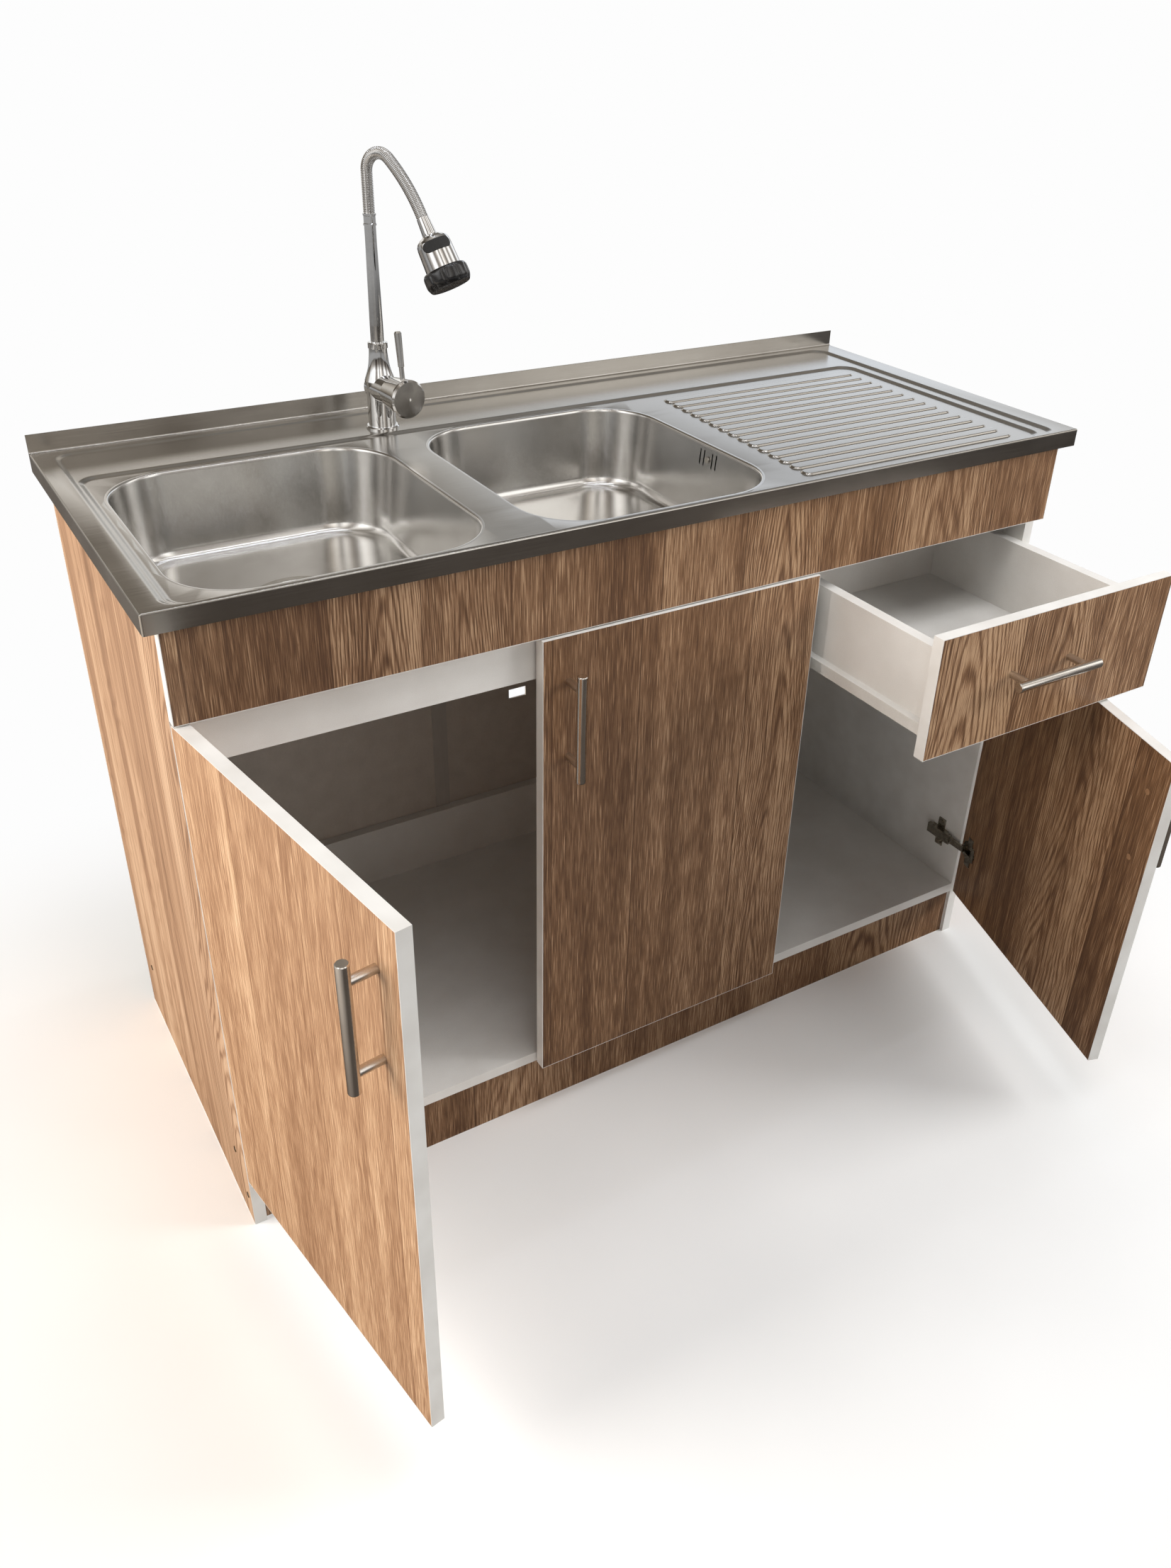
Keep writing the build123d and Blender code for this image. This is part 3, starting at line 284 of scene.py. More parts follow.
# Stainless tube turned between centres: fine rings round the bar under a dull shine.
SATIN_TUBE = Finish("turned_stainless_tube", "#cfcac4", "#dcd8d2", (0.14, 0.24), 1.0, mottle_mm=30,
                    grain_mm=0.5, grain_depth_mm=0.006)
# Nickel on pressed steel, as on hinge arms and cups: warm grey and a little cloudy.
NICKEL = Finish("nickel_plated_steel", "#8c867b", "#aaa498", (0.2, 0.34), 1.0, mottle_mm=8, grain_mm=1.0,
                grain_depth_mm=0.008)
# Bare turned brass under the tap: yellow metal with tool marks.
BRASS = Finish("machined_brass", "#a07c3c", "#bd9a55", (0.2, 0.3), 1.0, mottle_mm=10, grain_mm=0.5,
               stretch=(1, 1, 0.1))
# Epoxy powder on roll-formed steel: off-white with a slight orange peel.
POWDER_COAT = Finish("epoxy_powder_coat", "#dedcd7", "#e9e8e4", (0.32, 0.42), mottle_mm=30, grain_mm=1.8,
                     grain_depth_mm=0.02, ior=1.5)
# Moulded nylon, as on runner rollers: milky and dull.
NYLON = Finish("moulded_nylon", "#d6d2c8", "#e2dfd6", (0.4, 0.5), mottle_mm=6, grain_mm=0.8)
# Moulded polypropylene, as on waste nuts: a waxy pale grey.
POLYPROPYLENE = Finish("moulded_polypropylene", "#d0cfcb", "#dddcd9", (0.35, 0.5), mottle_mm=15,
                       grain_mm=1.2)
# Injection-moulded ABS from a polished tool: deep black with a hard, clear gloss.
BLACK_ABS = Finish("glossy_black_abs", "#0b0b0c", "#141416", (0.16, 0.28), mottle_mm=10, grain_mm=0.8,
                   grain_depth_mm=0.004, coat=0.4, coat_roughness=0.08, ior=1.5)
# Moulded rubber: black without a gloss, a little grey where it is handled.
BLACK_RUBBER = Finish("moulded_black_rubber", "#0d0d0e", "#19191a", (0.42, 0.55), mottle_mm=6, grain_mm=0.5,
                      grain_depth_mm=0.01, ior=1.5)


@dataclass(frozen=True)
class OakLaminate:
    """Printed oak on laminated board with a white plastic edge band.

    The print shows staves with thin dark joints, arched growth lines along the middle of each stave, short
    strokes of fibre that lean with the growth and dark pores, pressed into the surface as a slight relief.
    Real pores are about 0.2 mm wide. They and the strokes are drawn two to five times as wide, to show.
    """

    stave_mm: float = 128.0
    stave_drift: float = 1.3
    joint_mm: float = 1.5
    joint_dark: float = 0.3
    streak_mm: float = 1.05
    stroke_ratio: float = 34.0
    fibre: float = 0.8
    bright: float = 0.17
    band_mm: float = 20.0
    band: float = 0.42
    cloud_mm: float = 60.0
    cloud: float = 0.4
    pore: float = 0.1
    stave_tone: float = 0.17
    lean_mm: float = 8.0
    # Metres of print between two boards' seeds, and how far two staves' prints lie apart along and across.
    seed_step: float = 0.613
    along_step: float = 7.0
    own_step: float = 0.71
    # Radians of the growth lines' phase: by the bowed distance, along each metre, and by their own waves.
    arch_turn: float = 230.0
    run_turn: float = 95.0
    wave_turn: float = 7.0
    tones: tuple[tuple[float, str], ...] = ((0.22, "#573c29"), (0.42, "#725238"), (0.58, "#8e6b4d"),
                                            (0.78, "#bb9977"))

    def growth_lines(self, graph: Graph, local: object, drift: object, along: object,
                     waves: object) -> bpy.types.Node:
        """Arched growth lines: a sharpened sine of a bowed distance from the stave's middle.

        Args:
            graph: the material's nodes.
            local: place across the stave, from -0.5 to 0.5.
            drift: a slow noise that moves the arches sideways.
            along: place along the stave, in metres.
            waves: a noise that makes the lines uneven.

        Returns:
            A node that gives 1 on a line and falls to 0 between lines.
        """
        add = graph.add
        shift = add("Math", add("Math", drift, 0.5, operation="SUBTRACT"), 0.5, operation="MULTIPLY")
        off = add("Math", add("Math", local, shift, operation="ADD"), operation="ABSOLUTE")
        bow = add("Math", off, 1.6, operation="POWER")
        phase = add("Math", add("Math", bow, self.arch_turn, operation="MULTIPLY"),
                    add("Math", along, self.run_turn, operation="MULTIPLY"), operation="ADD")
        phase = add("Math", phase, add("Math", waves, self.wave_turn, operation="MULTIPLY"), operation="ADD")
        wave = add("Math", add("Math", phase, operation="SINE"), 0.5, 0.5, operation="MULTIPLY_ADD")
        return add("Math", wave, 2.5, operation="POWER")

    def draw(self, graph: Graph, vector: object, seed: float) -> tuple[bpy.types.Node, bpy.types.Node]:
        """Draw the print: a tone that all its layers add to, each by its own weight.

        Args:
            graph: the material's nodes.
            vector: place on the board in metres, x across the staves and z along them.
            seed: a number that gives each board its own stretch of the print.

        Returns:
            The nodes of the colour and of the relief.
        """
        add = graph.add
        axes = add("SeparateXYZ", vector).outputs
        across = add("Math", axes["X"], seed * self.seed_step, operation="ADD")
        uneven = add("TexNoise", {"Vector": add("CombineXYZ", across), "Scale": 4.0, "Detail": 0.0})
        stave = add("Math", uneven, self.stave_drift,
                    add("Math", across, self.stave_mm * MM, operation="DIVIDE"), operation="MULTIPLY_ADD")
        number = add("Math", stave, operation="FLOOR")
        chance = add("TexWhiteNoise", {"W": number}, noise_dimensions="1D")
        along = add("Math", chance, self.along_step, axes["Z"], operation="MULTIPLY_ADD")
        local = add("Math", add("Math", stave, operation="FRACT"), 0.5, operation="SUBTRACT")
        own = add("Math", number, self.own_step, operation="MULTIPLY")
        slow = add("Mapping", {"Vector": add("CombineXYZ", across, own, along), "Scale": (1, 1, 0.3)})
        drift = add("TexNoise", {"Vector": slow, "Scale": 9.0})
        swayed = add("Math", drift, self.lean_mm * MM, across, operation="MULTIPLY_ADD")
        leaning = add("CombineXYZ", swayed, own, along)

        def streaks(width_mm: float, stretch: float, detail: float, warp: float = 0.0) -> bpy.types.Node:
            """Noise as wide as width_mm across the grain and stretched along it."""
            longer = add("Mapping", {"Vector": leaning, "Scale": (1, 1, 1 / stretch)})
            return add("TexNoise", {"Vector": longer, "Scale": 1 / (width_mm * MM), "Detail": detail,
                                    "Roughness": 0.6, "Distortion": warp})

        rings = self.growth_lines(graph, local, drift, along, streaks(16.0, 9.0, 2.0))
        fibres = streaks(self.streak_mm, self.stroke_ratio, 1.0, 0.1)
        light = add("MapRange", {"Value": streaks(self.streak_mm * 0.9, self.stroke_ratio * 1.3, 0.0),
                                 "From Min": 0.55, "From Max": 0.63})
        pores = add("Math", streaks(self.streak_mm * 0.5, 24.0, 1.0), 0.62, operation="GREATER_THAN")
        edge = add("Math", local, operation="ABSOLUTE")
        joint = add("Math", edge, 0.5 - self.joint_mm / self.stave_mm / 2, operation="GREATER_THAN")
        arched = add("Math", add("Math", chance, -0.6, 0.25, operation="MULTIPLY_ADD"), -0.03,
                     operation="MINIMUM")
        layers = ((fibres, 0.5, self.fibre), (light, 0.0, self.bright),
                  (streaks(self.band_mm, 26.0, 1.0), 0.55, self.band),
                  (streaks(self.cloud_mm, 12.0, 1.0), 0.5, self.cloud), (chance, 0.5, self.stave_tone),
                  (rings, 0.3, arched), (pores, 0.0, -self.pore), (joint, 0.0, -self.joint_dark))
        tone: object = 0.5
        for layer, middle, weight in layers:
            centred = add("Math", layer, middle, operation="SUBTRACT")
            tone = add("Math", centred, weight, tone, operation="MULTIPLY_ADD")
        return add("ValToRGB", tone, stops=self.tones), tone


# The side panels carry the same wood with wide soft streaks, its own; its paler tones are painted light on
# the sides.
SIDE_PRINT_PAINTED_LIGHT = OakLaminate(stave_mm=330.0, streak_mm=2.6, stroke_ratio=60.0, fibre=0.5, bright=0.06, band=0.5,
                         cloud=0.7, pore=0.04,
                         tones=((0.22, "#83634a"), (0.42, "#9d795d"), (0.58, "#b79374"), (0.78, "#cfae8f")))
FRONT_PRINT = OakLaminate()
# The left door, opened to face the left window, carries the front print in paler tones: painted light.
LEFT_DOOR_PAINTED_LIGHT_PRINT = OakLaminate(tones=((0.22, "#8a6446"), (0.42, "#a88161"), (0.58, "#c09a77"), (0.78, "#dcba97")))


class OakSides(Enum):
    """Which faces of a board carry the oak print."""

    BOTH = 0
    LOW = -1
    HIGH = 1


@dataclass(frozen=True)
class PostFinish:
    """A handle post's finish: turned steel in front of the board, and a brown cap over its bolt's head."""

    node: str
    hinge: Hinge = CLOSED
    board_back: float = 15.0
    cap_sink: float = 1.0
    grain_per_m: float = 900.0

    def make(self) -> bpy.types.Material:
        """Build the post's material, which changes where the post leaves the closed board's back.

        Returns:
            The material.
        """
        paint = Paint("handle_post_" + self.node)
        add = paint.add
        depth = add("SeparateXYZ", paint.closed_place(self.hinge)).outputs["Y"]
        edge = float(to_frame(np.array([0.0, self.board_back - self.cap_sink, 0.0]))[Axis.Y.value])
        cap = add("Math", depth, edge, operation="GREATER_THAN")
        fine = add("TexNoise", {"Vector": paint.place, "Scale": self.grain_per_m})
        steel = add("ValToRGB", fine, stops=((0.3, SATIN_TUBE.dark), (0.7, SATIN_TUBE.light)))
        brown = add("ValToRGB", fine, stops=((0.3, "#8d694b"), (0.7, "#a37d5b")))
        return paint.close({
            "Base Color": add("Mix", {0: cap, 6: steel, 7: brown}, data_type="RGBA").outputs[2],
            "Metallic": add("Math", 1.0, cap, operation="SUBTRACT"),
            "Roughness": add("Math", cap, 0.2, 0.3, operation="MULTIPLY_ADD"),
        })


@dataclass(frozen=True)
class BoardFinish:
    """The finish of one board: oak on one or both of its broad faces, white on its edges and elsewhere."""

    node: str
    low: tuple[float, float, float]
    high: tuple[float, float, float]
    seed: float
    hinge: Hinge = CLOSED
    normal: Axis = Axis.Y
    oak: OakSides = OakSides.BOTH
    printed: OakLaminate = FRONT_PRINT
    band_mm: float = 0.7
    skin_mm: float = 0.2
    relief_mm: float = 0.12
    cloud_per_m: float = 22.0
    grain_per_m: float = 1100.0
    white_roughness: float = 0.4

    def printed_share(self, paint: Paint, axes: bpy.types.NodeOutputs) -> object:
        """Where the oak print is: within the edge bands and on the broad faces that carry it.

        Args:
            paint: the material.
            axes: the sockets of the place in the closed unit.

        Returns:
            A node that gives 1 on the print and 0 elsewhere.
        """
        add = paint.add
        low, high = to_frame(np.array(self.low)), to_frame(np.array(self.high))
        mask: object = 1.0
        for axis in Axis:
            place = axes[axis.value]
            margin = (self.skin_mm if axis is self.normal else self.band_mm) * MM
            first, last = low[axis.value] + margin, high[axis.value] - margin
            if axis is self.normal:
                near = add("Math", place, first, operation="LESS_THAN")
                far = add("Math", place, last, operation="GREATER_THAN")
                faces = {OakSides.LOW: (near, 0.0), OakSides.HIGH: (far, 0.0), OakSides.BOTH: (near, far)}
                inside = add("Math", *faces[self.oak], operation="ADD", use_clamp=True)
            else:
                inside = add("Math", add("Math", place, first, operation="GREATER_THAN"),
                             add("Math", place, last, operation="LESS_THAN"), operation="MULTIPLY")
            mask = add("Math", mask, inside, operation="MULTIPLY")
        return mask

    def make(self) -> bpy.types.Material:
        """Build the board's material, with the pattern in the board's own closed place.

        Returns:
            The material.
        """
        paint = Paint("oak_board_" + self.node)
        add = paint.add
        closed = paint.closed_place(self.hinge)
        mask = self.printed_share(paint, add("SeparateXYZ", closed).outputs)
        if self.normal is not Axis.Y:
            closed = add("Mapping", {"Vector": closed, "Rotation": (0, 0, math.pi / 2)})
        oak, relief = self.printed.draw(paint, closed, self.seed)
        cloud = add("TexNoise", {"Vector": paint.place, "Scale": self.cloud_per_m})
        white = add("ValToRGB", cloud, stops=((0.3, "#dcd9d4"), (0.7, "#e8e6e2")))
        gloss = add("Math", relief, -0.16, 0.52, operation="MULTIPLY_ADD")
        plain = add("Math", add("Math", 1.0, mask, operation="SUBTRACT"), self.white_roughness,
                    operation="MULTIPLY")
        grain = add("TexNoise", {"Vector": paint.place, "Scale": self.grain_per_m, "Detail": 1.0})
        height = add("Math", add("Math", relief, mask, operation="MULTIPLY"),
                     add("Math", grain, 0.1, operation="MULTIPLY"), operation="ADD")
        return paint.close({
            "Base Color": add("Mix", {0: mask, 6: white, 7: oak}, data_type="RGBA").outputs[2],
            "Roughness": add("Math", add("Math", gloss, mask, operation="MULTIPLY"), plain, operation="ADD"),
            "IOR": 1.5,
            "Normal": add("Bump", {"Height": height, "Strength": 1.0, "Distance": self.relief_mm * MM}),
        })


# ---------------------------------------------------------------- surfaces
def quads(rows: int, columns: int, wrap_rows: bool = False, wrap_columns: bool = False) -> np.ndarray:
    """Faces of a grid of points.

    Args:
        rows: points along the first parameter.
        columns: points along the second parameter.
        wrap_rows: whether the last row joins the first.
        wrap_columns: whether the last column joins the first.

    Returns:
        An array of four point numbers a face.
    """
    i = np.arange(rows if wrap_rows else rows - 1)
    j = np.arange(columns if wrap_columns else columns - 1)
    a, b = np.meshgrid(i, j, indexing="ij")
    a2, b2 = (a + 1) % rows, (b + 1) % columns
    corners = [a * columns + b, a2 * columns + b, a2 * columns + b2, a * columns + b2]
    return np.stack(corners, -1).reshape(-1, 4)


def mesh_piece(name: str, points: np.ndarray, faces: Sequence, sharp_deg: float = 35.0,
               turn_out: bool = True) -> bpy.types.Object:
    """Make a piece from points in the frame.

    Args:
        name: the piece's name.
        points: an array of places in metres.
        faces: point numbers of each face.
        sharp_deg: edges that bend more than this stay sharp.
        turn_out: whether the faces are turned to point outwards.

    Returns:
        The new object, at the origin.
    """
    mesh = bpy.data.meshes.new(name)
    places = np.asarray(points, float).reshape(-1, 3).tolist()
    mesh.from_pydata(places, [], [list(map(int, face)) for face in faces])
    work = bmesh.new()
    work.from_mesh(mesh)
    bmesh.ops.remove_doubles(work, verts=work.verts, dist=1e-6)
    bmesh.ops.dissolve_degenerate(work, dist=1e-7, edges=work.edges)
    if turn_out:
        bmesh.ops.recalc_face_normals(work, faces=work.faces)
    work.to_mesh(mesh)
    work.free()
    mesh.shade_smooth()
    mesh.set_sharp_from_angle(angle=math.radians(sharp_deg))
    piece = bpy.data.objects.new(name, mesh)
    bpy.context.scene.collection.objects.link(piece)
    return piece


def join_shells(*shells: tuple[np.ndarray, Sequence]) -> tuple[np.ndarray, list[list[int]]]:
    """Put several surfaces into one.

    Args:
        shells: the points and the faces of each.

    Returns:
        All their points, and all their faces in the new numbers.
    """
    points, faces, start = [], [], 0
    for shell_points, shell_faces in shells:
        flat = np.asarray(shell_points, float).reshape(-1, 3)
        points.append(flat)
        faces += [[int(n) + start for n in face] for face in shell_faces]
        start += len(flat)
    return np.concatenate(points), faces


def lathe(profile: np.ndarray, place: np.ndarray, around: int,
          ripple: np.ndarray | float = 0.0) -> tuple[np.ndarray, np.ndarray]:
    """Turn a profile about an axis: each point is radius times (cos, sin) of the turn, raised to its height.

    Args:
        profile: (radius, height) pairs in millimetres, from one end round to the other.
        place: a 4 by 4 matrix that puts the axis, its Z, in millimetre space.
        around: points round the axis.
        ripple: radii to add, one a profile point and turn.

    Returns:
        Points in the frame, and faces.
    """
    shape = np.asarray(profile, float)
    turn = np.linspace(0, 2 * math.pi, around, endpoint=False)
    radius = np.repeat(shape[:, :1], around, 1) + ripple
    grid = np.stack([radius * np.cos(turn), radius * np.sin(turn), np.repeat(shape[:, 1:], around, 1),
                     np.ones_like(radius)], -1)
    return to_frame((grid @ place.T)[..., :3]), quads(len(shape), around, wrap_columns=True)


def rounded(profile: Sequence[tuple[float, float, float]], steps: int = 5) -> np.ndarray:
    """Round the corners of a polyline.

    Each corner becomes an arc-like curve, a quadratic between the points that lie the corner's radius away
    from it along its two sides.

    Args:
        profile: (x, y, radius) of each corner.
        steps: points on each rounded corner.

    Returns:
        The finer polyline's x and y.
    """
    corners = np.array([p[:2] for p in profile], float)
    t = np.linspace(0, 1, steps)[:, None]
    made = []
    for index, (_, _, radius) in enumerate(profile):
        here = corners[index]
        if radius <= 0 or index in (0, len(profile) - 1):
            made.append(here[None])
            continue
        back, ahead = corners[index - 1] - here, corners[index + 1] - here
        start, end = (here + side / np.linalg.norm(side) * min(radius, np.linalg.norm(side) * SIDE_SHARE)
                      for side in (back, ahead))
        made.append((1 - t) ** 2 * start + 2 * t * (1 - t) * here + t * t * end)
    return np.concatenate(made)


def rounded_outline(x0: float, x1: float, y0: float, y1: float, radius: float, arc_steps: int = 12,
                    spacing: float = 40.0) -> np.ndarray:
    """Points round a rectangle whose corners are quarter circles, in a steady order.

    Args:
        x0: the left side.
        x1: the right side.
        y0: the front side.
        y1: the rear side.
        radius: the corner radius.
        arc_steps: spans on each corner.
        spacing: about how far apart the points of a straight side are.

    Returns:
        An array of x, y pairs, closed without a repeat.
    """
    centres = ((x1 - radius, y0 + radius, -90), (x1 - radius, y1 - radius, 0),
               (x0 + radius, y1 - radius, 90), (x0 + radius, y0 + radius, 180))
    spans = (max(1, int((y1 - y0 - 2 * radius) / spacing)), max(1, int((x1 - x0 - 2 * radius) / spacing)))
    pieces = []
    for index, (cx, cy, start) in enumerate(centres):
        turn = np.radians(start + np.linspace(0, 90, arc_steps + 1))
        arc = np.stack([cx + radius * np.cos(turn), cy + radius * np.sin(turn)], -1)
        after = centres[(index + 1) % 4]
        angle = math.radians(after[2])
        following = np.array([after[0] + radius * math.cos(angle), after[1] + radius * math.sin(angle)])
        count = spans[index % 2]
        share = np.arange(1, count)[:, None] / count
        pieces += [arc, arc[-1] + (following - arc[-1]) * share]
    return np.concatenate(pieces)


def ease(share: np.ndarray) -> np.ndarray:
    """A smooth step from 0 to 1: 3 t squared less 2 t cubed."""
    t = np.clip(share, 0, 1)
    return t * t * (3 - 2 * t)


def inside(points: np.ndarray, box: Sequence[float], radius: float) -> np.ndarray:
    """How far each point lies inside a rounded rectangle: the usual signed distance, turned over.

    Args:
        points: x, y pairs.
        box: the rectangle's left, right, front and rear sides.
        radius: its corner radius.

    Returns:
        The distances, negative outside.
    """
    x0, x1, y0, y1 = box
    middle, half = [(x0 + x1) / 2, (y0 + y1) / 2], [(x1 - x0) / 2 - radius, (y1 - y0) / 2 - radius]
    offset = np.abs(points - middle) - half
    outside = np.linalg.norm(np.maximum(offset, 0), axis=-1)
    return radius - outside - np.minimum(offset.max(-1), 0)


def apply_modifier(piece: bpy.types.Object, modifier: bpy.types.Modifier) -> None:
    """Turn a modifier's result into the piece's own mesh."""
    with bpy.context.temp_override(active_object=piece, object=piece):
        bpy.ops.object.modifier_apply(modifier=modifier.name)


def even_shading(piece: bpy.types.Object) -> None:
    """Let a piece's large faces set its shading, so that flats beside small bends look flat."""
    piece.modifiers.new("even_shading", "WEIGHTED_NORMAL").keep_sharp = True


def finish_piece(piece: bpy.types.Object, body: str, slot: str, material: bpy.types.Material,
                 *nodes: str) -> None:
    """Dress a new piece, let it ride on its body and hide the nodes that it stands for.

    Args:
        piece: the new piece.
        body: the body that carries it.
        slot: the record's material slot; not used.
        material: its material.
        nodes: the nodes that it replaces.
    """
    piece.data.materials.clear()
    piece.data.materials.append(material)
    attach(piece, body)
    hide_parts(*nodes)
    LOG.info("made %s on %s", piece.name, body)


def dress(material: bpy.types.Material, *nodes: str) -> None:
    """Give carried-over nodes their material.

    Args:
        material: the material.
        nodes: the nodes' names.
    """
    for name in nodes:
        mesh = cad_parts[name].data
        mesh.materials.clear()
        mesh.materials.append(material)
        LOG.info("dressed %s", name)


# ---------------------------------------------------------------- the pressed top
@dataclass
class PressedTop:
    """The pressed stainless top: lips, two soft steps, drainer ribs, upstand and two drawn bowls."""

    # Heights, the sheet's thickness, and the bends along the edges.
    top: float = 830.0
    step: float = 2.5
    sheet: float = 1.0
    lip_bottom: float = 808.0
    lip_radius: float = 2.0
    upstand: float = 852.0
    rear_radius: float = 2.0
    edge_ease: float = 0.3
    tuck: float = 1.0
    bend_points: int = 6
    # The plan, and the outlines of the steps as left, right, front and rear.
    left: float = -14.0
    right: float = 1186.0
    front: float = -1.0
    back: float = 499.0
    outer_step: tuple[float, float, float, float] = (7.0, 1155.0, 4.2, 484.0)
    inner_step: tuple[float, float, float, float] = (14.0, 1135.0, 9.6, 396.0)
    step_radius: float = 24.0
    step_ease: float = 8.0
    front_ease: float = 5.0
    # The drainer. Its first and last ribs have these left and right ends, and the rest lie between them.
    rib_count: int = 15
    rib_pitch: float = 23.0
    rib_width: float = 20.0
    rib_height: float = 2.2
    rib_flank: float = 3.2
    rib_first: float = 36.5
    rib_front: tuple[float, float] = (758.0, 1099.0)
    rib_back: tuple[float, float] = (780.0, 1111.0)
    # The bowls, and how far each rim lies over the hole in the flat.
    bowl_spans: tuple[tuple[float, float], ...] = ((32.0, 359.0), (412.0, 724.0))
    bowl_front: float = 20.5
    bowl_length: float = 358.0
    bowl_radius: float = 75.0
    bowl_drop: float = 101.0
    bowl_draft: float = 10.0
    rim_radius: float = 4.0
    floor_radius: float = 14.0
    floor_run: float = 70.0
    floor_dish: float = 0.8
    weld: float = 0.5
    waste_radius: float = 43.0
    waste_seat: float = 53.0
    # The tap hole's x, y and radius, the overflow's middle y and z, its slots' offsets, height and width.
    tap: tuple[float, float, float] = (393.5, 420.0, 16.0)
    overflow: tuple[float, float] = (174.5, 807.0)
    overflow_slots: tuple[float, ...] = (-16.5, -8.5, 8.5, 16.5)
    overflow_slot: tuple[float, float] = (20.0, 3.0)
    overflow_reach: tuple[float, float] = (-12.0, 6.0)

    @property
    def basin(self) -> float:
        """The height of the sunk area round the bowls."""
        return self.top - 2 * self.step

    def bowl_box(self, span: tuple[float, float], grow: float) -> tuple[float, float, float, float]:
        """A bowl's left, right, front and rear sides, grown outwards by some millimetres."""
        return (span[0] - grow, span[1] + grow, self.bowl_front - grow,
                self.bowl_front + self.bowl_length + grow)

    def rim_outline(self, span: tuple[float, float], grow: float) -> np.ndarray:
        """A bowl's outline, grown outwards by some millimetres."""
        return rounded_outline(*self.bowl_box(span, grow), self.bowl_radius + grow, 16, 20.0)

    def ribs(self) -> list[tuple[float, float, float]]:
        """Each rib's left end, right end and middle line.

        Returns:
            One triple a rib, from the front.
        """
        share = np.arange(self.rib_count) / (self.rib_count - 1)
        lefts = self.rib_front[0] + share * (self.rib_back[0] - self.rib_front[0])
        rights = self.rib_front[1] + share * (self.rib_back[1] - self.rib_front[1])
        lines = self.rib_first + np.arange(self.rib_count) * self.rib_pitch
        return list(zip(lefts, rights, lines))

    def step_share(self, points: np.ndarray, box: Sequence[float]) -> np.ndarray:
        """How far down one step the sheet is, from 0 on its edge's outside to 1.

        The slope is step_ease wide at the back and the sides but only front_ease at the front, so the plan
        is stretched there before its distance from the outline is taken.

        Args:
            points: places on the plan.
            box: the step's outline.

        Returns:
            The share at each place.
        """
        x0, x1, y0, y1 = box
        spare = self.step_ease - self.front_ease
        past = points[:, 1] - y0
        stretched = np.where(past < self.front_ease, past * self.step_ease / self.front_ease, past + spare)
        moved = np.column_stack([points[:, 0], y0 + stretched])
        return ease(inside(moved, (x0, x1, y0, y1 + spare), self.step_radius) / self.step_ease)

    def height(self, points: np.ndarray) -> np.ndarray:
        """The top's height at places on its plan.

        Two smooth steps go down as a point moves inside the outer and the inner outline, and each rib rises
        through a smooth flank from its stadium's edge to a flat crown.

        Args:
            points: places on the plan.

        Returns:
            The height at each place.
        """
        z = np.full(len(points), self.top)
        for box in (self.outer_step, self.inner_step):
            z -= self.step * self.step_share(points, box)
        half = self.rib_width / 2
        for left, right, line in self.ribs():
            nearest = np.clip(points[:, 0], left + half, right - half)
            away = np.hypot(points[:, 0] - nearest, points[:, 1] - line)
            z += self.rib_height * ease((half - away) / self.rib_flank)
        return z

    def plan_rings(self) -> list[np.ndarray]:
        """Closed outlines of the plan on which the sheet bends, and so needs points.

        Returns:
            Ten insets of each step's outline and eight of each rib's.
        """
        rings = []
        spare = self.step_ease - self.front_ease
        for x0, x1, y0, y1 in (self.outer_step, self.inner_step):
            for inset in np.linspace(-0.05, 1.05, 10) * self.step_ease:
                ring = rounded_outline(x0 + inset, x1 - inset, y0 + inset, y1 + spare - inset,
                                       self.step_radius - inset, 12, 60)
                past = ring[:, 1] - y0
                ring[:, 1] = y0 + np.where(past < self.step_ease, past * self.front_ease / self.step_ease,
                                           past - spare)
                rings.append(ring)
        half = self.rib_width / 2
        for left, right, line in self.ribs():
            for inset in np.linspace(-0.08, 1.05, 8) * self.rib_flank:
                rings.append(rounded_outline(left + inset, right - inset, line - half + inset,
                                             line + half - inset, half - inset - ROUND_GAP, 6, 60))
        return rings

    def plan(self) -> tuple[np.ndarray, list[list[int]]]:
        """The flat of the top, cut open at both bowls and the tap, and raised to its height.

        Returns:
            Points in the frame, and triangles.
        """
        r, rear = self.lip_radius, self.back - self.rear_radius
        rim = np.array([(self.left + r, self.front + r), (self.right - r, self.front + r),
                        (self.right - r, rear), (self.left + r, rear)])
        turn = np.linspace(0, 2 * math.pi, 32, endpoint=False)
        centre = np.array(self.tap[:2])
        tap = centre + self.tap[2] * np.stack([np.cos(turn), np.sin(turn)], -1)
        collars = [centre + (tap - centre) * grow for grow in (1.15, 1.4)]
        grow = self.rim_radius + self.weld
        holes = [self.rim_outline(span, grow) for span in self.bowl_spans]
        points: list[np.ndarray] = []
        edges: list[tuple[int, int]] = []
        start = 0
        for ring in [rim, *holes, tap, *collars, *self.plan_rings()]:
            count = len(ring)
            points.append(ring)
            edges += [(start + i, start + (i + 1) % count) for i in range(count)]
            start += count
        flat = [Vector(p) for p in np.concatenate(points)]
        verts, _, tris, _, _, _ = delaunay_2d_cdt(flat, edges, [], 1, 1e-4)
        plan, tris = np.array([tuple(v) for v in verts]), np.array(tris)
        middle = plan[tris].mean(1)
        # The hole is a polygon, so a triangle just outside it may have its middle just inside the circle.
        keep = np.hypot(*(middle - centre).T) > self.tap[2] * 0.995
        for span in self.bowl_spans:
            keep &= inside(middle, self.bowl_box(span, grow), self.bowl_radius + grow) < 0
        return to_frame(np.column_stack([plan, self.height(plan)])), tris[keep].tolist()

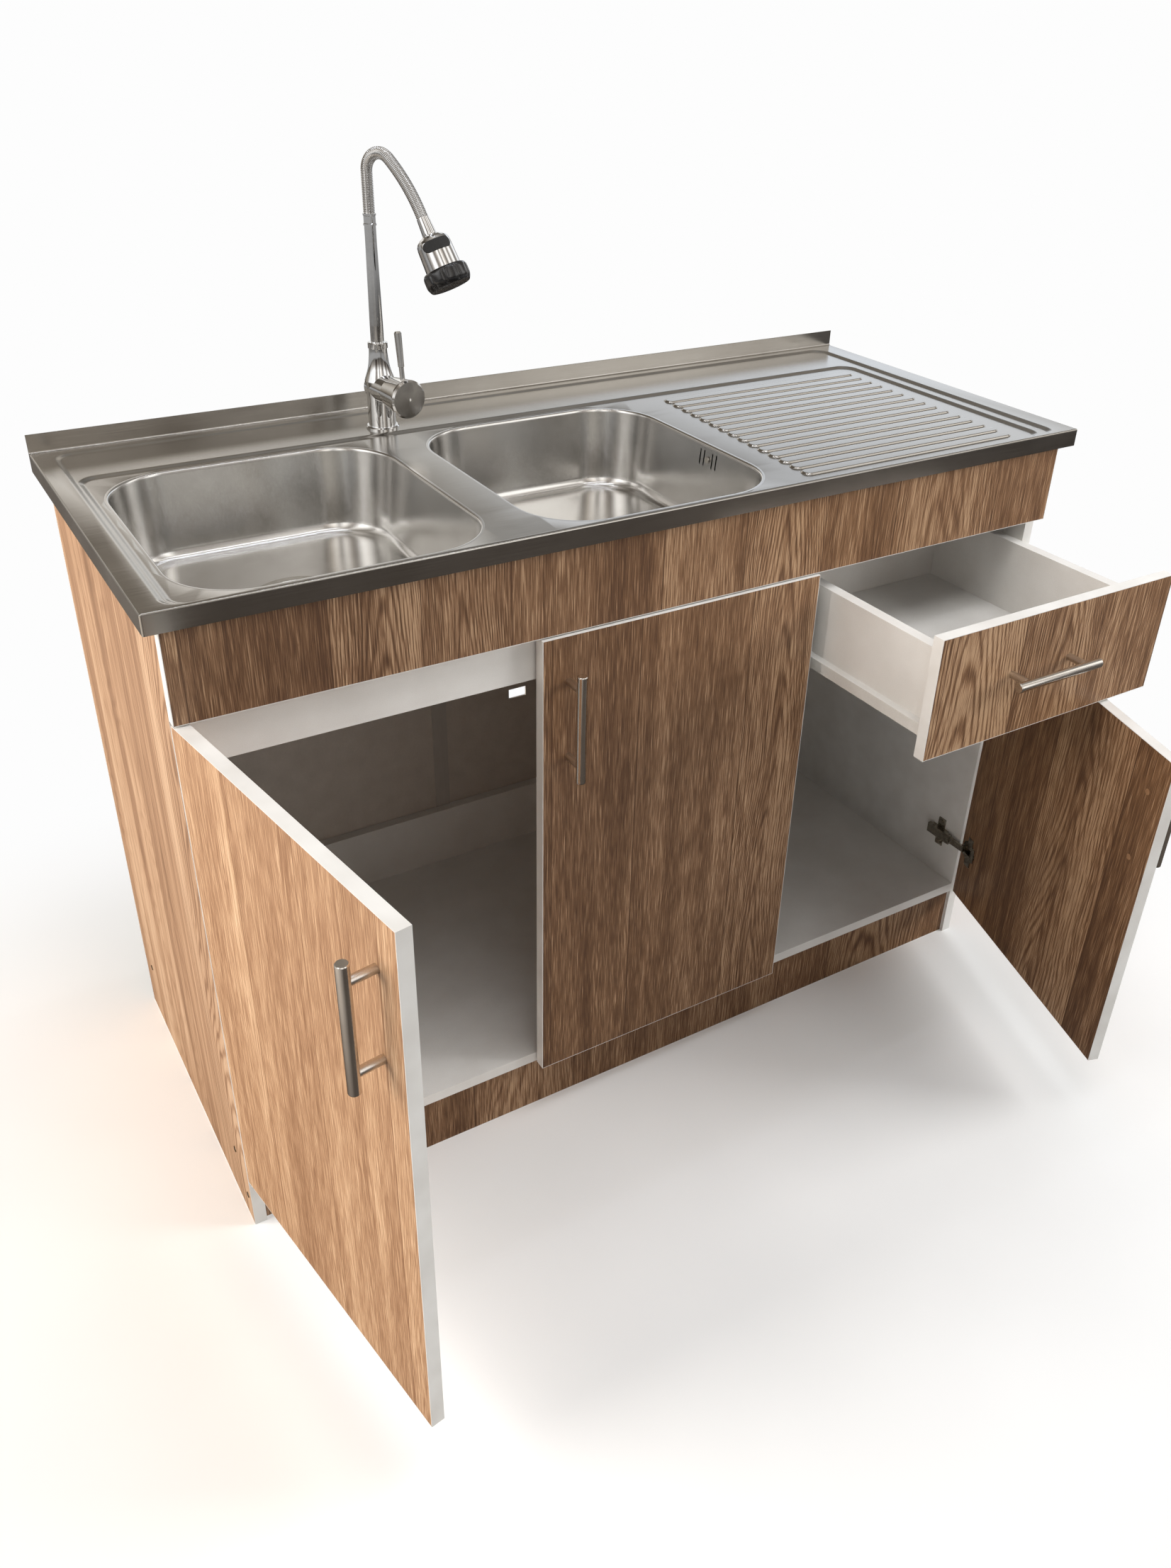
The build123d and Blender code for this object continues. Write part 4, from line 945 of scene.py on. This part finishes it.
    def lips(self) -> tuple[np.ndarray, np.ndarray]:
        """The front and side lips: a rounded edge, a drop and a thin return, carried round three sides.

        The path holds places and the directions out of the top there, against which the section is inset.

        Returns:
            Points in the frame, and faces.
        """
        r, rear = self.lip_radius, self.back - self.rear_radius
        bend = np.linspace(0, math.pi / 2, self.bend_points)
        cos, sin = np.cos(bend), np.sin(bend)
        section = np.vstack([np.column_stack([r - r * sin, self.top - r + r * cos]),
                             [(0.0, self.lip_bottom), (self.sheet, self.lip_bottom),
                              (self.sheet, self.top - r), (self.sheet + self.tuck, self.top - self.sheet)]])
        path = np.vstack([[(self.left, rear, -1.0, 0.0)],
                          np.column_stack([self.left + r - r * cos, self.front + r - r * sin, -cos, -sin]),
                          np.column_stack([self.right - r + r * sin, self.front + r - r * cos, sin, -cos]),
                          [(self.right, rear, 1.0, 0.0)]])
        inset = section[None, :, 0]
        grid = np.stack([path[:, 0:1] - path[:, 2:3] * inset, path[:, 1:2] - path[:, 3:4] * inset,
                         np.repeat(section[None, :, 1], len(path), 0)], -1)
        return to_frame(grid), quads(len(path), len(section))

    def upstand_strip(self) -> tuple[np.ndarray, np.ndarray]:
        """The rear edge: the sheet turns up through a small radius and ends in a thin, square top.

        Returns:
            Points in the frame, and faces.
        """
        r, face = self.rear_radius, self.back - self.sheet
        bend = np.linspace(0, math.pi / 2, self.bend_points)
        section = np.vstack([
            np.column_stack([face - r + r * np.sin(bend), self.top + r - r * np.cos(bend)]),
            [(face, self.upstand - self.edge_ease), (self.back - self.sheet / 2, self.upstand),
             (self.back, self.upstand - self.edge_ease), (self.back, self.lip_bottom),
             (face, self.lip_bottom), (face, self.top - self.sheet - self.tuck)]])
        ends = np.array([self.left, self.left + self.lip_radius, self.right - self.lip_radius, self.right])
        grid = np.stack([np.repeat(ends[:, None], len(section), 1),
                         np.repeat(section[None, :, 0], len(ends), 0),
                         np.repeat(section[None, :, 1], len(ends), 0)], -1)
        return to_frame(grid), quads(len(ends), len(section))

    def make_top(self) -> bpy.types.Object:
        """Build the top as one piece with the sheet's thickness on its flat.

        Returns:
            The top.
        """
        flat = mesh_piece("pressed_top", *self.plan(), sharp_deg=50)
        if flat.data.polygons[0].normal.z < 0:
            flat.data.flip_normals()
        thick = flat.modifiers.new("sheet", "SOLIDIFY")
        thick.thickness = self.sheet * MM
        thick.offset = -1.0
        edge = mesh_piece("edges", *join_shells(self.lips(), self.upstand_strip()), sharp_deg=50)
        apply_modifier(flat, thick)
        with bpy.context.temp_override(active_object=flat, selected_editable_objects=[flat, edge]):
            bpy.ops.object.join()
        even_shading(flat)
        return flat

    def bowl_section(self, grow: float) -> np.ndarray:
        """A bowl's section as (inset, drop) pairs, from the rim's flat to the floor.

        Args:
            grow: how far the surface lies outside the inner face, for the wall's outer side.

        Returns:
            The section, rounded at the rim and at the floor.
        """
        base = self.bowl_drop + grow
        return rounded([(-self.rim_radius - self.weld, grow, 0.0), (-grow, grow, self.rim_radius - grow),
                        (self.bowl_draft - grow, base, self.floor_radius + grow),
                        (self.bowl_draft + self.floor_run, base, 0.0)], 9)

    def bowl_shell(self, span: tuple[float, float]) -> tuple[np.ndarray, np.ndarray]:
        """A drawn bowl: the section carried round the outline, then drawn in to the waste's circle.

        The inner face runs from the rim down to the waste hole and the outer face comes back outside it, at
        the sheet's thickness.

        Args:
            span: the bowl's left and right sides.

        Returns:
            Points in the frame, and faces.
        """
        centre = np.array([sum(span) / 2, self.bowl_front + self.bowl_length / 2])
        rings = []
        for grow, order in ((0.0, 1), (self.sheet, -1)):
            face = []
            for inset, drop in self.bowl_section(grow)[:-1]:
                outline = self.rim_outline(span, -inset)
                face.append(np.column_stack([outline, np.full(len(outline), self.basin - drop)]))
            last = face[-1]
            turn = np.arctan2(*(last[:, :2] - centre).T[::-1])
            circle = np.stack([np.cos(turn), np.sin(turn)], -1)
            seat = centre + self.waste_seat * circle
            for share in (0.2, 0.45, 0.7, 0.88):
                rise = self.floor_dish * (math.sin(math.pi * share) if grow == 0.0 else 0.0)
                face.append(np.column_stack([last[:, :2] * (1 - share) + seat * share, last[:, 2] + rise]))
            face.append(np.column_stack([seat, last[:, 2]]))
            face.append(np.column_stack([centre + self.waste_radius * circle, last[:, 2]]))
            rings += face[::order]
        grid = np.stack(rings)
        return to_frame(grid), quads(len(rings), grid.shape[1], wrap_rows=True, wrap_columns=True)

    def cut_overflow(self, bowl: bpy.types.Object) -> None:
        """Cut four upright stadium slots through the right bowl's outer wall.

        Args:
            bowl: the right bowl.
        """
        wall = self.bowl_spans[1][1]
        tall, wide = self.overflow_slot
        y, z = self.overflow
        shells = []
        for offset in self.overflow_slots:
            outline = rounded_outline(y + offset - wide / 2, y + offset + wide / 2, z - tall / 2,
                                      z + tall / 2, wide / 2 - ROUND_GAP, 6, 40)
            count = len(outline)
            ends = [np.column_stack([np.full(count, wall + reach), outline])
                    for reach in self.overflow_reach]
            faces = quads(2, count, wrap_columns=True).tolist()
            faces += [list(range(count)), list(range(2 * count - 1, count - 1, -1))]
            shells.append((to_frame(np.concatenate(ends)), faces))
        cutter = mesh_piece("overflow_cutter", *join_shells(*shells))
        cut = bowl.modifiers.new("overflow", "BOOLEAN")
        cut.operation = "DIFFERENCE"
        cut.solver = "EXACT"
        cut.object = cutter
        apply_modifier(bowl, cut)
        bpy.data.objects.remove(cutter)
        even_shading(bowl)

    def build(self) -> None:
        """Make and dress the top and both bowls."""
        finish_piece(self.make_top(), "cabinet", "stainless_steel", BRUSHED_TOP.make(), "sink_deck")
        satin = SATIN_BOWL.make()
        for name, span in zip(("left_bowl", "right_bowl"), self.bowl_spans):
            piece = mesh_piece(name + "_shell", *self.bowl_shell(span), sharp_deg=60)
            if name == "right_bowl":
                self.cut_overflow(piece)
            finish_piece(piece, "cabinet", "stainless_steel", satin, name)


# ---------------------------------------------------------------- the tap
@dataclass
class FlexibleSpout:
    """The sprung spout hose: a steel strip wound so that its turns stand out as round ridges."""

    tap: tuple[float, float] = (393.5, 420.0)
    heading_deg: float = 65.0
    start: float = 1078.5
    rise: float = 44.5
    bend_radius: float = 21.0
    bend_turn: float = 130.0
    fall_radius: float = 190.0
    end_turn: float = 151.0
    tail: float = 5.0
    radius: float = 6.8
    groove: float = 1.0
    turns: int = 92
    around: int = 40
    rings_a_turn: int = 8
    end_shrink: float = 0.6
    end_run: float = 1.5

    def centre_line(self, runs: np.ndarray) -> tuple[np.ndarray, np.ndarray]:
        """Places and headings along the hose.

        The line runs straight up, round a tight arc, then along a wide arc and a short straight tail.

        Args:
            runs: lengths along the hose, in millimetres.

        Returns:
            Places in millimetre space, and how far the heading has turned from upright, in radians.
        """
        bend, end = math.radians(self.bend_turn), math.radians(self.end_turn)
        first, second = self.bend_radius * bend, self.fall_radius * (end - bend)
        one = np.clip(runs - self.rise, 0, first) / self.bend_radius
        two = np.clip(runs - self.rise - first, 0, second) / self.fall_radius
        rest = np.maximum(runs - self.rise - first - second, 0)
        reach = self.bend_radius * (1 - np.cos(one))
        reach = reach + self.fall_radius * (math.cos(bend) - np.cos(bend + two)) + rest * math.sin(end)
        height = self.start + np.minimum(runs, self.rise) + self.bend_radius * np.sin(one)
        height = height + self.fall_radius * (np.sin(bend + two) - math.sin(bend)) + rest * math.cos(end)
        heading = math.radians(self.heading_deg)
        places = np.stack([self.tap[0] + math.cos(heading) * reach, self.tap[1] - math.sin(heading) * reach,
                           height], -1)
        return places, one + two

    @property
    def length(self) -> float:
        """The hose's length along its centre line."""
        bend, end = math.radians(self.bend_turn), math.radians(self.end_turn)
        return self.rise + self.bend_radius * bend + self.fall_radius * (end - bend) + self.tail

    def frames(self, turn: np.ndarray) -> tuple[np.ndarray, np.ndarray]:
        """Two unit vectors square to the hose: one level, and one on the outside of the bend.

        Args:
            turn: how far the heading has turned from upright, in radians.

        Returns:
            The level and the outward vectors.
        """
        heading = math.radians(self.heading_deg)
        ahead = np.array([math.cos(heading), -math.sin(heading), 0.0])
        level = np.broadcast_to(np.cross([0, 0, 1], ahead), (len(turn), 3))
        outward = -ahead * np.cos(turn)[:, None] + np.array([0, 0, 1]) * np.sin(turn)[:, None]
        return level, outward

    def build(self, steel: bpy.types.Material) -> None:
        """Wind the ridges: the radius falls by the groove's depth times the eighth power of a cosine wave.

        The wave's phase also turns once round the hose, so that the ridges climb as one continuous strip.

        Args:
            steel: the hose's material.
        """
        rows = self.turns * self.rings_a_turn + 1
        runs = np.linspace(0, self.length, rows)
        places, turn = self.centre_line(runs)
        level, outward = self.frames(turn)
        angle = np.linspace(0, 2 * math.pi, self.around, endpoint=False)
        phase = math.pi * (runs[:, None] / self.length * self.turns + angle[None, :] / (2 * math.pi))
        radius = self.radius - self.groove * np.cos(phase) ** 8
        inward = np.clip(np.minimum(runs, self.length - runs) / self.end_run, 0, 1)[:, None]
        radius = radius * inward + (self.radius - self.end_shrink) * (1 - inward)
        cos, sin = np.cos(angle)[None, :, None], np.sin(angle)[None, :, None]
        ring = cos * level[:, None, :] + sin * outward[:, None, :]
        outer = places[:, None, :] + ring * radius[..., None]
        first, last = list(range(self.around)), list(range(rows * self.around))[-self.around:]
        faces = [*quads(rows, self.around, wrap_columns=True).tolist(), first, last[::-1]]
        piece = mesh_piece("flexible_spout", to_frame(outer), faces, sharp_deg=70)
        finish_piece(piece, "tap_spout", "chrome", steel, "spout_hose")


@dataclass
class SprayRing:
    """The knurled ring on the spray head, with the nozzle face inside it."""

    head_low: float = 60.0
    overlap: float = 1.5
    length: float = 21.0
    radius: float = 26.5
    bore: float = 18.1
    grooves: int = 10
    groove_depth: float = 1.1
    groove_width: float = 0.085
    around: int = 160

    def place(self) -> np.ndarray:
        """The spray head's own matrix: Z along the head, from the hose's end.

        Returns:
            A 4 by 4 matrix into millimetre space.
        """
        spout = FlexibleSpout()
        places, turn = spout.centre_line(np.array([spout.length]))
        level, outward = spout.frames(turn)
        axis = np.cross(outward[0], -level[0])
        matrix = np.eye(4)
        matrix[:3, 0], matrix[:3, 1], matrix[:3, 2] = outward[0], np.cross(axis, outward[0]), axis
        matrix[:3, 3] = places[0]
        return matrix

    def build(self, plastic: bpy.types.Material) -> None:
        """Turn the ring: its flank is pressed in by ten soft grooves, its face is dished and ringed.

        A groove's depth falls off as a bell curve round the ring, and smoothly towards the flank's ends.

        Args:
            plastic: the ring's material.
        """
        r, high = self.radius, self.head_low - self.overlap
        low = high + self.length
        # Radius, height along the head and corner radius, from the bore round the outside to the middle.
        shape = rounded([
            (18.3, high + 1.6, 0), (21.3, high + 1.6, 0.3), (21.6, high, 0.8), (r - 2.4, high, 1.2),
            (r - 0.4, high + 3.0, 1.5), (r, high + 6, 2), (r, low - 6, 3), (r - 3.2, low, 1.6),
            (r - 5.6, low, 0.5), (r - 6.2, low - 0.9, 0.4), (12.6, low - 0.9, 0.4), (12.0, low - 0.1, 0.4),
            (8.2, low - 0.1, 0.4), (7.6, low - 0.8, 0.4), (0.0, low - 0.8, 0)])
        angle = np.linspace(0, 2 * math.pi, self.around, endpoint=False)
        flank = ease((shape[:, 1] - high - 2) / 3) * ease((low - 0.2 - shape[:, 1]) / 3)
        flank = flank * (shape[:, 0] > r - 4)
        notch = np.exp(-((((angle * self.grooves / (2 * math.pi)) % 1) - 0.5) / self.groove_width) ** 2)
        ripple = -self.groove_depth * flank[:, None] * notch[None, :]
        outer = lathe(shape, self.place(), self.around, ripple)
        bore = np.array([(self.bore, high + 1.6), (self.bore, low - 3.0), (0.0, low - 3.0)])
        inner = lathe(bore, self.place(), self.around)
        piece = mesh_piece("spray_ring_grip", *join_shells(outer, inner), sharp_deg=40)
        finish_piece(piece, "spray_selector", "black_plastic", plastic, "spray_ring")


# ---------------------------------------------------------------- handles
@dataclass
class BarHandle:
    """A T-bar handle: a turned tube with eased ends, seen on every front."""

    node: str
    body: str
    radius: float = 6.0
    ease_mm: float = 0.8
    corner: float = 0.6
    around: int = 48

    def build(self, steel: bpy.types.Material) -> None:
        """Turn the bar along its node's longest side, with a small bevel at each end.

        Args:
            steel: the bar's material.
        """
        low, high = (np.array(corner) / MM + FRAME_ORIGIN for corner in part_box(self.node))
        axis = int(np.argmax(high - low))
        half = (high - low)[axis] / 2
        r, e, c = self.radius, self.ease_mm, self.corner
        profile = rounded([(0.0, -half, 0), (r - e, -half, 0), (r, -half + e, c), (r, half - e, c),
                           (r - e, half, 0), (0.0, half, 0)], 3)
        matrix = np.eye(4)
        matrix[:3, :3] = np.roll(np.eye(3), -(axis + 1), axis=1)
        matrix[:3, 3] = (low + high) / 2
        tube = lathe(profile, matrix, self.around)
        piece = mesh_piece(self.node.replace("_bar", "_tube"), *tube, sharp_deg=30)
        finish_piece(piece, self.body, "chrome", steel, self.node)


# ---------------------------------------------------------------- boards
@dataclass
class Cabinet:
    """The boards of the unit and the finish of each."""

    width: float = 1160.0
    board: float = 15.0
    side_front: float = 18.0
    side_back: float = 485.0
    side_top: float = 824.0
    door_bottom: float = 83.0
    door_top: float = 708.0

    def boards(self) -> list[BoardFinish]:
        """Every board that shows oak, with its closed place.

        Returns:
            The boards' finishes.
        """
        w, t, bottom, top = self.width, self.board, self.door_bottom, self.door_top
        return [
            # The side panels' print is paler than the fronts': painted light for the light that falls on the
            # sides.
            BoardFinish("left_side_panel", (0, self.side_front, 0), (t, self.side_back, self.side_top), 3.0,
                        normal=Axis.X, oak=OakSides.LOW, printed=SIDE_PRINT_PAINTED_LIGHT),
            BoardFinish("right_side_panel", (w - t, self.side_front, 0), (w, self.side_back, self.side_top),
                        5.0, normal=Axis.X, oak=OakSides.HIGH, printed=SIDE_PRINT_PAINTED_LIGHT),
            BoardFinish("front_fascia", (0, 3, 710), (w, 3 + t, 823), 1.0, oak=OakSides.LOW),
            BoardFinish("plinth_board", (t, 23, 0), (w - t, 23 + t, 82), 7.0, oak=OakSides.LOW),
            # The open left door takes a paler copy of the front print: painted light from the left window.
            BoardFinish("left_door_panel", (0, 0, bottom), (388, t, top), 9.0, LEFT_HINGE,
                        printed=LEFT_DOOR_PAINTED_LIGHT_PRINT),
            BoardFinish("middle_door_panel", (391, 0, bottom), (773, t, top), 11.0),
            BoardFinish("right_door_panel", (776, 0, bottom), (w, t, 549), 13.0, RIGHT_HINGE),
            BoardFinish("drawer_front", (776, -DRAWER_OPEN, 553), (w, t - DRAWER_OPEN, top), 15.0),
        ]

    def build(self) -> None:
        """Dress the boards and the fittings that stay as the frame has them."""
        for board in self.boards():
            dress(board.make(), board.node)
        dress(WHITE_MELAMINE.make(), "partition_panel", "floor_panel", "front_rail", "rear_top_rail",
              "rear_lower_rail", "drawer_sides", "drawer_back", "drawer_bottom")
        dress(GREY_HARDBOARD.make(), "left_back_panel", "right_back_panel")
        dress(GREY_STRIP.make(), "back_joint_strip")
        dress(NICKEL.make(), "hinge_arms", "hinge_mounting_plates", "wood_screws", "left_door_hinge_cups",
              "middle_door_hinge_cups", "right_door_hinge_cups")
        dress(POWDER_COAT.make(), "cabinet_runners", "drawer_runners")
        dress(NYLON.make(), "cabinet_rollers", "drawer_rollers")


@dataclass
class Fittings:
    """Tap, wastes, overflow and handles."""

    fronts: tuple[str, ...] = ("left_door", "middle_door", "right_door", "drawer")
    posts: tuple[PostFinish, ...] = (
        PostFinish("left_door_handle_posts", LEFT_HINGE), PostFinish("middle_door_handle_posts"),
        PostFinish("right_door_handle_posts", RIGHT_HINGE),
        PostFinish("drawer_handle_posts", board_back=15.0 - DRAWER_OPEN))

    def build(self) -> None:
        """Dress the carried-over parts and build the new ones."""
        chrome, tube = CHROME.make(), SATIN_TUBE.make()
        dress(chrome, "tap_base_ring", "tap_body", "spout_pipe", "spout_collar", "hose_ferrule",
              "spray_body")
        dress(SATIN_CHROME.make(), "tap_lever_hub", "tap_lever_rod")
        dress(BRASS.make(), "tap_shank", "tap_fixing_nut", "tap_cartridge_stem")
        dress(BLACK_RUBBER.make(), "spray_button")
        dress(SATIN_WASTE.make(), "waste_bodies", "left_strainer", "right_strainer", "overflow_screw")
        dress(POLYPROPYLENE.make(), "waste_nuts")
        dress(BLACK_ABS.make(), "overflow_elbow")
        for post in self.posts:
            dress(post.make(), post.node)
        for front in self.fronts:
            BarHandle(front + "_handle_bar", front).build(tube)
        FlexibleSpout().build(chrome)
        SprayRing().build(BLACK_ABS.make())


# ---------------------------------------------------------------- studio
@dataclass(frozen=True)
class Lamp:
    """A soft rectangular light that faces a point, and that metal shows only where it is mirrored."""

    name: str
    place: tuple[float, float, float]
    target: tuple[float, float, float]
    size: tuple[float, float]
    watts: float
    colour: str = "#ffffff"
    mirrored: bool = False

    def hang(self) -> None:
        """Put the lamp in the scene."""
        data = bpy.data.lights.new(self.name, "AREA")
        data.shape = "RECTANGLE"
        data.size, data.size_y = self.size
        data.energy = self.watts
        data.color = linear(self.colour)[:3]
        lamp = bpy.data.objects.new(self.name, data)
        lamp.location = self.place
        lamp.visible_glossy = self.mirrored
        lamp.rotation_euler = (Vector(self.place) - Vector(self.target)).to_track_quat("Z", "Y").to_euler()
        bpy.context.scene.collection.objects.link(lamp)


@dataclass
class Camera:
    """The camera at the photograph's place, with its lens and its off-centre frame."""

    width_px: int = 1652
    height_px: int = 2213
    focal_px: float = 1802.07
    centre_px: tuple[float, float] = (842.2, 1053.76)
    place: tuple[float, float, float] = (-206.1, -1074.2, 1313.1)
    turn: tuple[float, float, float] = (0.5314, -0.5359, -0.1247)
    sensor_mm: float = 36.0

    def stand(self) -> None:
        """Stand the camera in the scene: its turn is a vector whose length is the angle, in radians."""
        angle = float(np.linalg.norm(self.turn))
        swing = Matrix.Rotation(angle, 3, Vector(np.array(self.turn) / angle))
        look = Matrix(((1, 0, 0), (0, 0, -1), (0, 1, 0)))
        view = (swing @ look).transposed() @ Matrix.Diagonal((1, -1, -1))
        data = bpy.data.cameras.new("camera")
        data.sensor_width = self.sensor_mm
        data.lens = self.sensor_mm * self.focal_px / self.height_px
        data.shift_x = (self.width_px / 2 - self.centre_px[0]) / self.height_px
        data.shift_y = (self.centre_px[1] - self.height_px / 2) / self.height_px
        data.clip_start = 0.05
        camera = bpy.data.objects.new("camera", data)
        camera.matrix_world = Matrix.Translation(Vector(to_frame(np.array(self.place)))) @ view.to_4x4()
        bpy.context.scene.collection.objects.link(camera)
        bpy.context.scene.camera = camera


@dataclass
class Studio:
    """A pale floor and soft lights, in a room that only metal sees. Its sizes are metres."""

    floor_reach: float = 14.0
    # The half width and depth round the unit in which the floor keeps its own colour, and the fade beyond.
    floor_clear: tuple[float, float, float] = (0.62, 0.42, 0.0)
    floor_fade: float = 0.62
    mirror_fade: tuple[float, float] = (3.0, 6.0)
    mirror_share: float = 0.4
    world_level: float = 0.23
    room_level: float = 2.4
    paper: str = "#fdfdfd"
    # Walls from behind the camera, round by the left, the back and the right, with windows and curtains.
    walls: tuple[tuple[float, str], ...] = (
        (0.0, "#b3ada6"), (0.03, "#f1efec"), (0.055, "#5f5a55"), (0.085, "#f6f5f3"), (0.12, "#8d8781"),
        (0.15, "#645e59"), (0.19, "#ffffff"), (0.31, "#fbf9f6"), (0.35, "#9f988f"), (0.42, "#b5afa6"),
        (0.48, "#d2ccc3"), (0.53, "#fbf6ef"), (0.57, "#dadad8"), (0.585, "#dfe2e6"), (0.615, "#eef4fc"),
        (0.70, "#f8f6f3"), (0.76, "#645e59"), (0.80, "#f3f2f0"), (0.86, "#69635e"), (0.91, "#fbfaf8"),
        (0.96, "#5f5a55"), (1.0, "#b3ada6"))
    # Heights from straight down to straight up, for the room's far half and for the half behind the camera.
    far_heights: tuple[tuple[float, str], ...] = (
        (0.46, "#3a3734"), (0.52, "#96928d"), (0.60, "#d3d5d8"), (0.635, "#d1d3d5"), (0.65, "#c3c3c2"),
        (0.668, "#a8a6a4"), (0.68, "#6b6763"), (0.73, "#5f5b56"), (1.0, "#77736e"))
    near_heights: tuple[tuple[float, str], ...] = (
        (0.46, "#3a3734"), (0.52, "#837e79"), (0.60, "#ffffff"), (0.80, "#f4f2ef"), (0.95, "#c4c0bb"))
    lamps: tuple[Lamp, ...] = (
        Lamp("window_left", (-3.3, 0.7, 1.7), (0.0, 0.1, 0.5), (2.2, 2.0), 142.0, "#fff8f0"),
        Lamp("ceiling", (0.3, -0.8, 3.0), (0.2, -0.3, 0.5), (2.4, 1.2), 36.0),
        Lamp("window_right", (2.3, -1.2, 1.5), (0.5, 0.0, 0.5), (1.2, 1.2), 46.0),
        Lamp("strip", (0.1, -0.5, 2.7), (0.1, -0.5, 0.0), (1.3, 0.05), 2.4, "#eef4ff", True),
        Lamp("strip", (0.1, 0.35, 2.7), (0.1, 0.35, 0.0), (1.3, 0.05), 2.4, "#eef4ff", True))

    def floor_paint(self) -> bpy.types.Material:
        """The floor's paint: pale, white away from the unit, and dark where metal mirrors it.

        The distance beyond the clear rectangle is the length of what is left of the absolute place once the
        rectangle's half sizes are taken away.

        Returns:
            The material.
        """
        paint = Paint("painted_studio_floor")
        add = paint.add
        path = add("LightPath").outputs
        cloud = add("TexNoise", {"Vector": paint.place, "Scale": 3.0})
        pale = add("ValToRGB", cloud, stops=((0.3, "#f1f1f0"), (0.7, "#f6f6f5")))
        lit = add("MapRange", {"Value": add("SeparateXYZ", paint.place).outputs["X"], "From Min": -0.7,
                               "From Max": -1.7})
        dark = add("Mix", {0: lit, 6: linear("#544e49"), 7: linear("#c2bcb5")}, data_type="RGBA").outputs[2]
        colour = add("Mix", {0: path["Is Glossy Ray"], 6: pale, 7: dark}, data_type="RGBA").outputs[2]
        shader = add("BsdfPrincipled", {"Base Color": colour, "Roughness": 0.8, "Specular IOR Level": 0.1})
        beyond = add("VectorMath", paint.place, operation="ABSOLUTE")
        beyond = add("VectorMath", beyond, self.floor_clear, operation="SUBTRACT")
        beyond = add("VectorMath", beyond, (0, 0, 0), operation="MAXIMUM")
        away = add("VectorMath", beyond, operation="LENGTH").outputs["Value"]
        near, far = (add("MapRange", {"Value": away, "From Min": first, "From Max": last},
                         interpolation_type="SMOOTHSTEP")
                     for first, last in ((0.0, self.floor_fade), self.mirror_fade))
        share = add("Math", near, path["Is Camera Ray"], operation="MULTIPLY")
        mirrored = add("Math", path["Is Glossy Ray"], path["Is Transmission Ray"], operation="MAXIMUM")
        mirrored = add("Math", mirrored, self.mirror_share, operation="MULTIPLY")
        share = add("Math", far, mirrored, share, operation="MULTIPLY_ADD")
        white = add("Emission", {"Color": linear(self.paper), "Strength": 1.0})
        add("OutputMaterial", add("MixShader", share, shader, white))
        return paint.material

    def floor(self) -> None:
        """Lay the wide floor."""
        reach = self.floor_reach
        corners = np.array([(-reach, -reach, 0), (reach, -reach, 0), (reach, reach, 0), (-reach, reach, 0)])
        piece = mesh_piece("studio_floor", corners, [[0, 1, 2, 3]], turn_out=False)
        piece.data.materials.append(self.floor_paint())

    def world(self) -> None:
        """A plain pale world, in which metal sees a room with bright windows and a dark floor line."""
        world = bpy.data.worlds.new("studio")
        bpy.context.scene.world = world
        world.use_nodes = True
        graph = Graph(world.node_tree)
        add = graph.add
        path = add("LightPath").outputs
        seen = add("Math", path["Is Glossy Ray"], path["Is Transmission Ray"], operation="MAXIMUM")
        axes = add("SeparateXYZ", graph.coordinates["Generated"]).outputs
        heading = add("Math", axes["X"], axes["Y"], operation="ARCTAN2")
        round_room = add("Math", heading, 0.5 / math.pi, 0.5, operation="MULTIPLY_ADD")
        height = add("Math", axes["Z"], 0.5, 0.5, operation="MULTIPLY_ADD")
        behind = add("MapRange", {"Value": axes["Y"], "From Min": 0.2, "From Max": -0.2})
        far, near = (add("ValToRGB", height, stops=stops) for stops in (self.far_heights, self.near_heights))
        heights = add("Mix", {0: behind, 6: far, 7: near}, data_type="RGBA").outputs[2]
        walls = add("ValToRGB", round_room, stops=self.walls)
        room = add("Mix", {0: 1.0, 6: walls, 7: heights}, data_type="RGBA", blend_type="MULTIPLY").outputs[2]
        colour = add("Mix", {0: seen, 6: linear(self.paper), 7: room}, data_type="RGBA").outputs[2]
        more = add("Math", seen, self.room_level - self.world_level, operation="MULTIPLY")
        level = add("Math", add("Math", more, self.world_level, operation="ADD"), path["Is Camera Ray"],
                    operation="MAXIMUM")
        add("OutputWorld", add("Background", {"Color": colour, "Strength": level}))

    def build(self) -> None:
        """Set up the floor, the lights, the world and the camera."""
        self.floor()
        for lamp in self.lamps:
            lamp.hang()
        self.world()
        Camera().stand()
        bpy.context.scene.view_settings.view_transform = "Standard"


def main() -> None:
    """Build the unit's looks and the studio."""
    logging.basicConfig(level=logging.INFO, format="%(name)s %(message)s")
    Cabinet().build()
    PressedTop().build()
    Fittings().build()
    Studio().build()


if __name__ == "__main__":
    main()
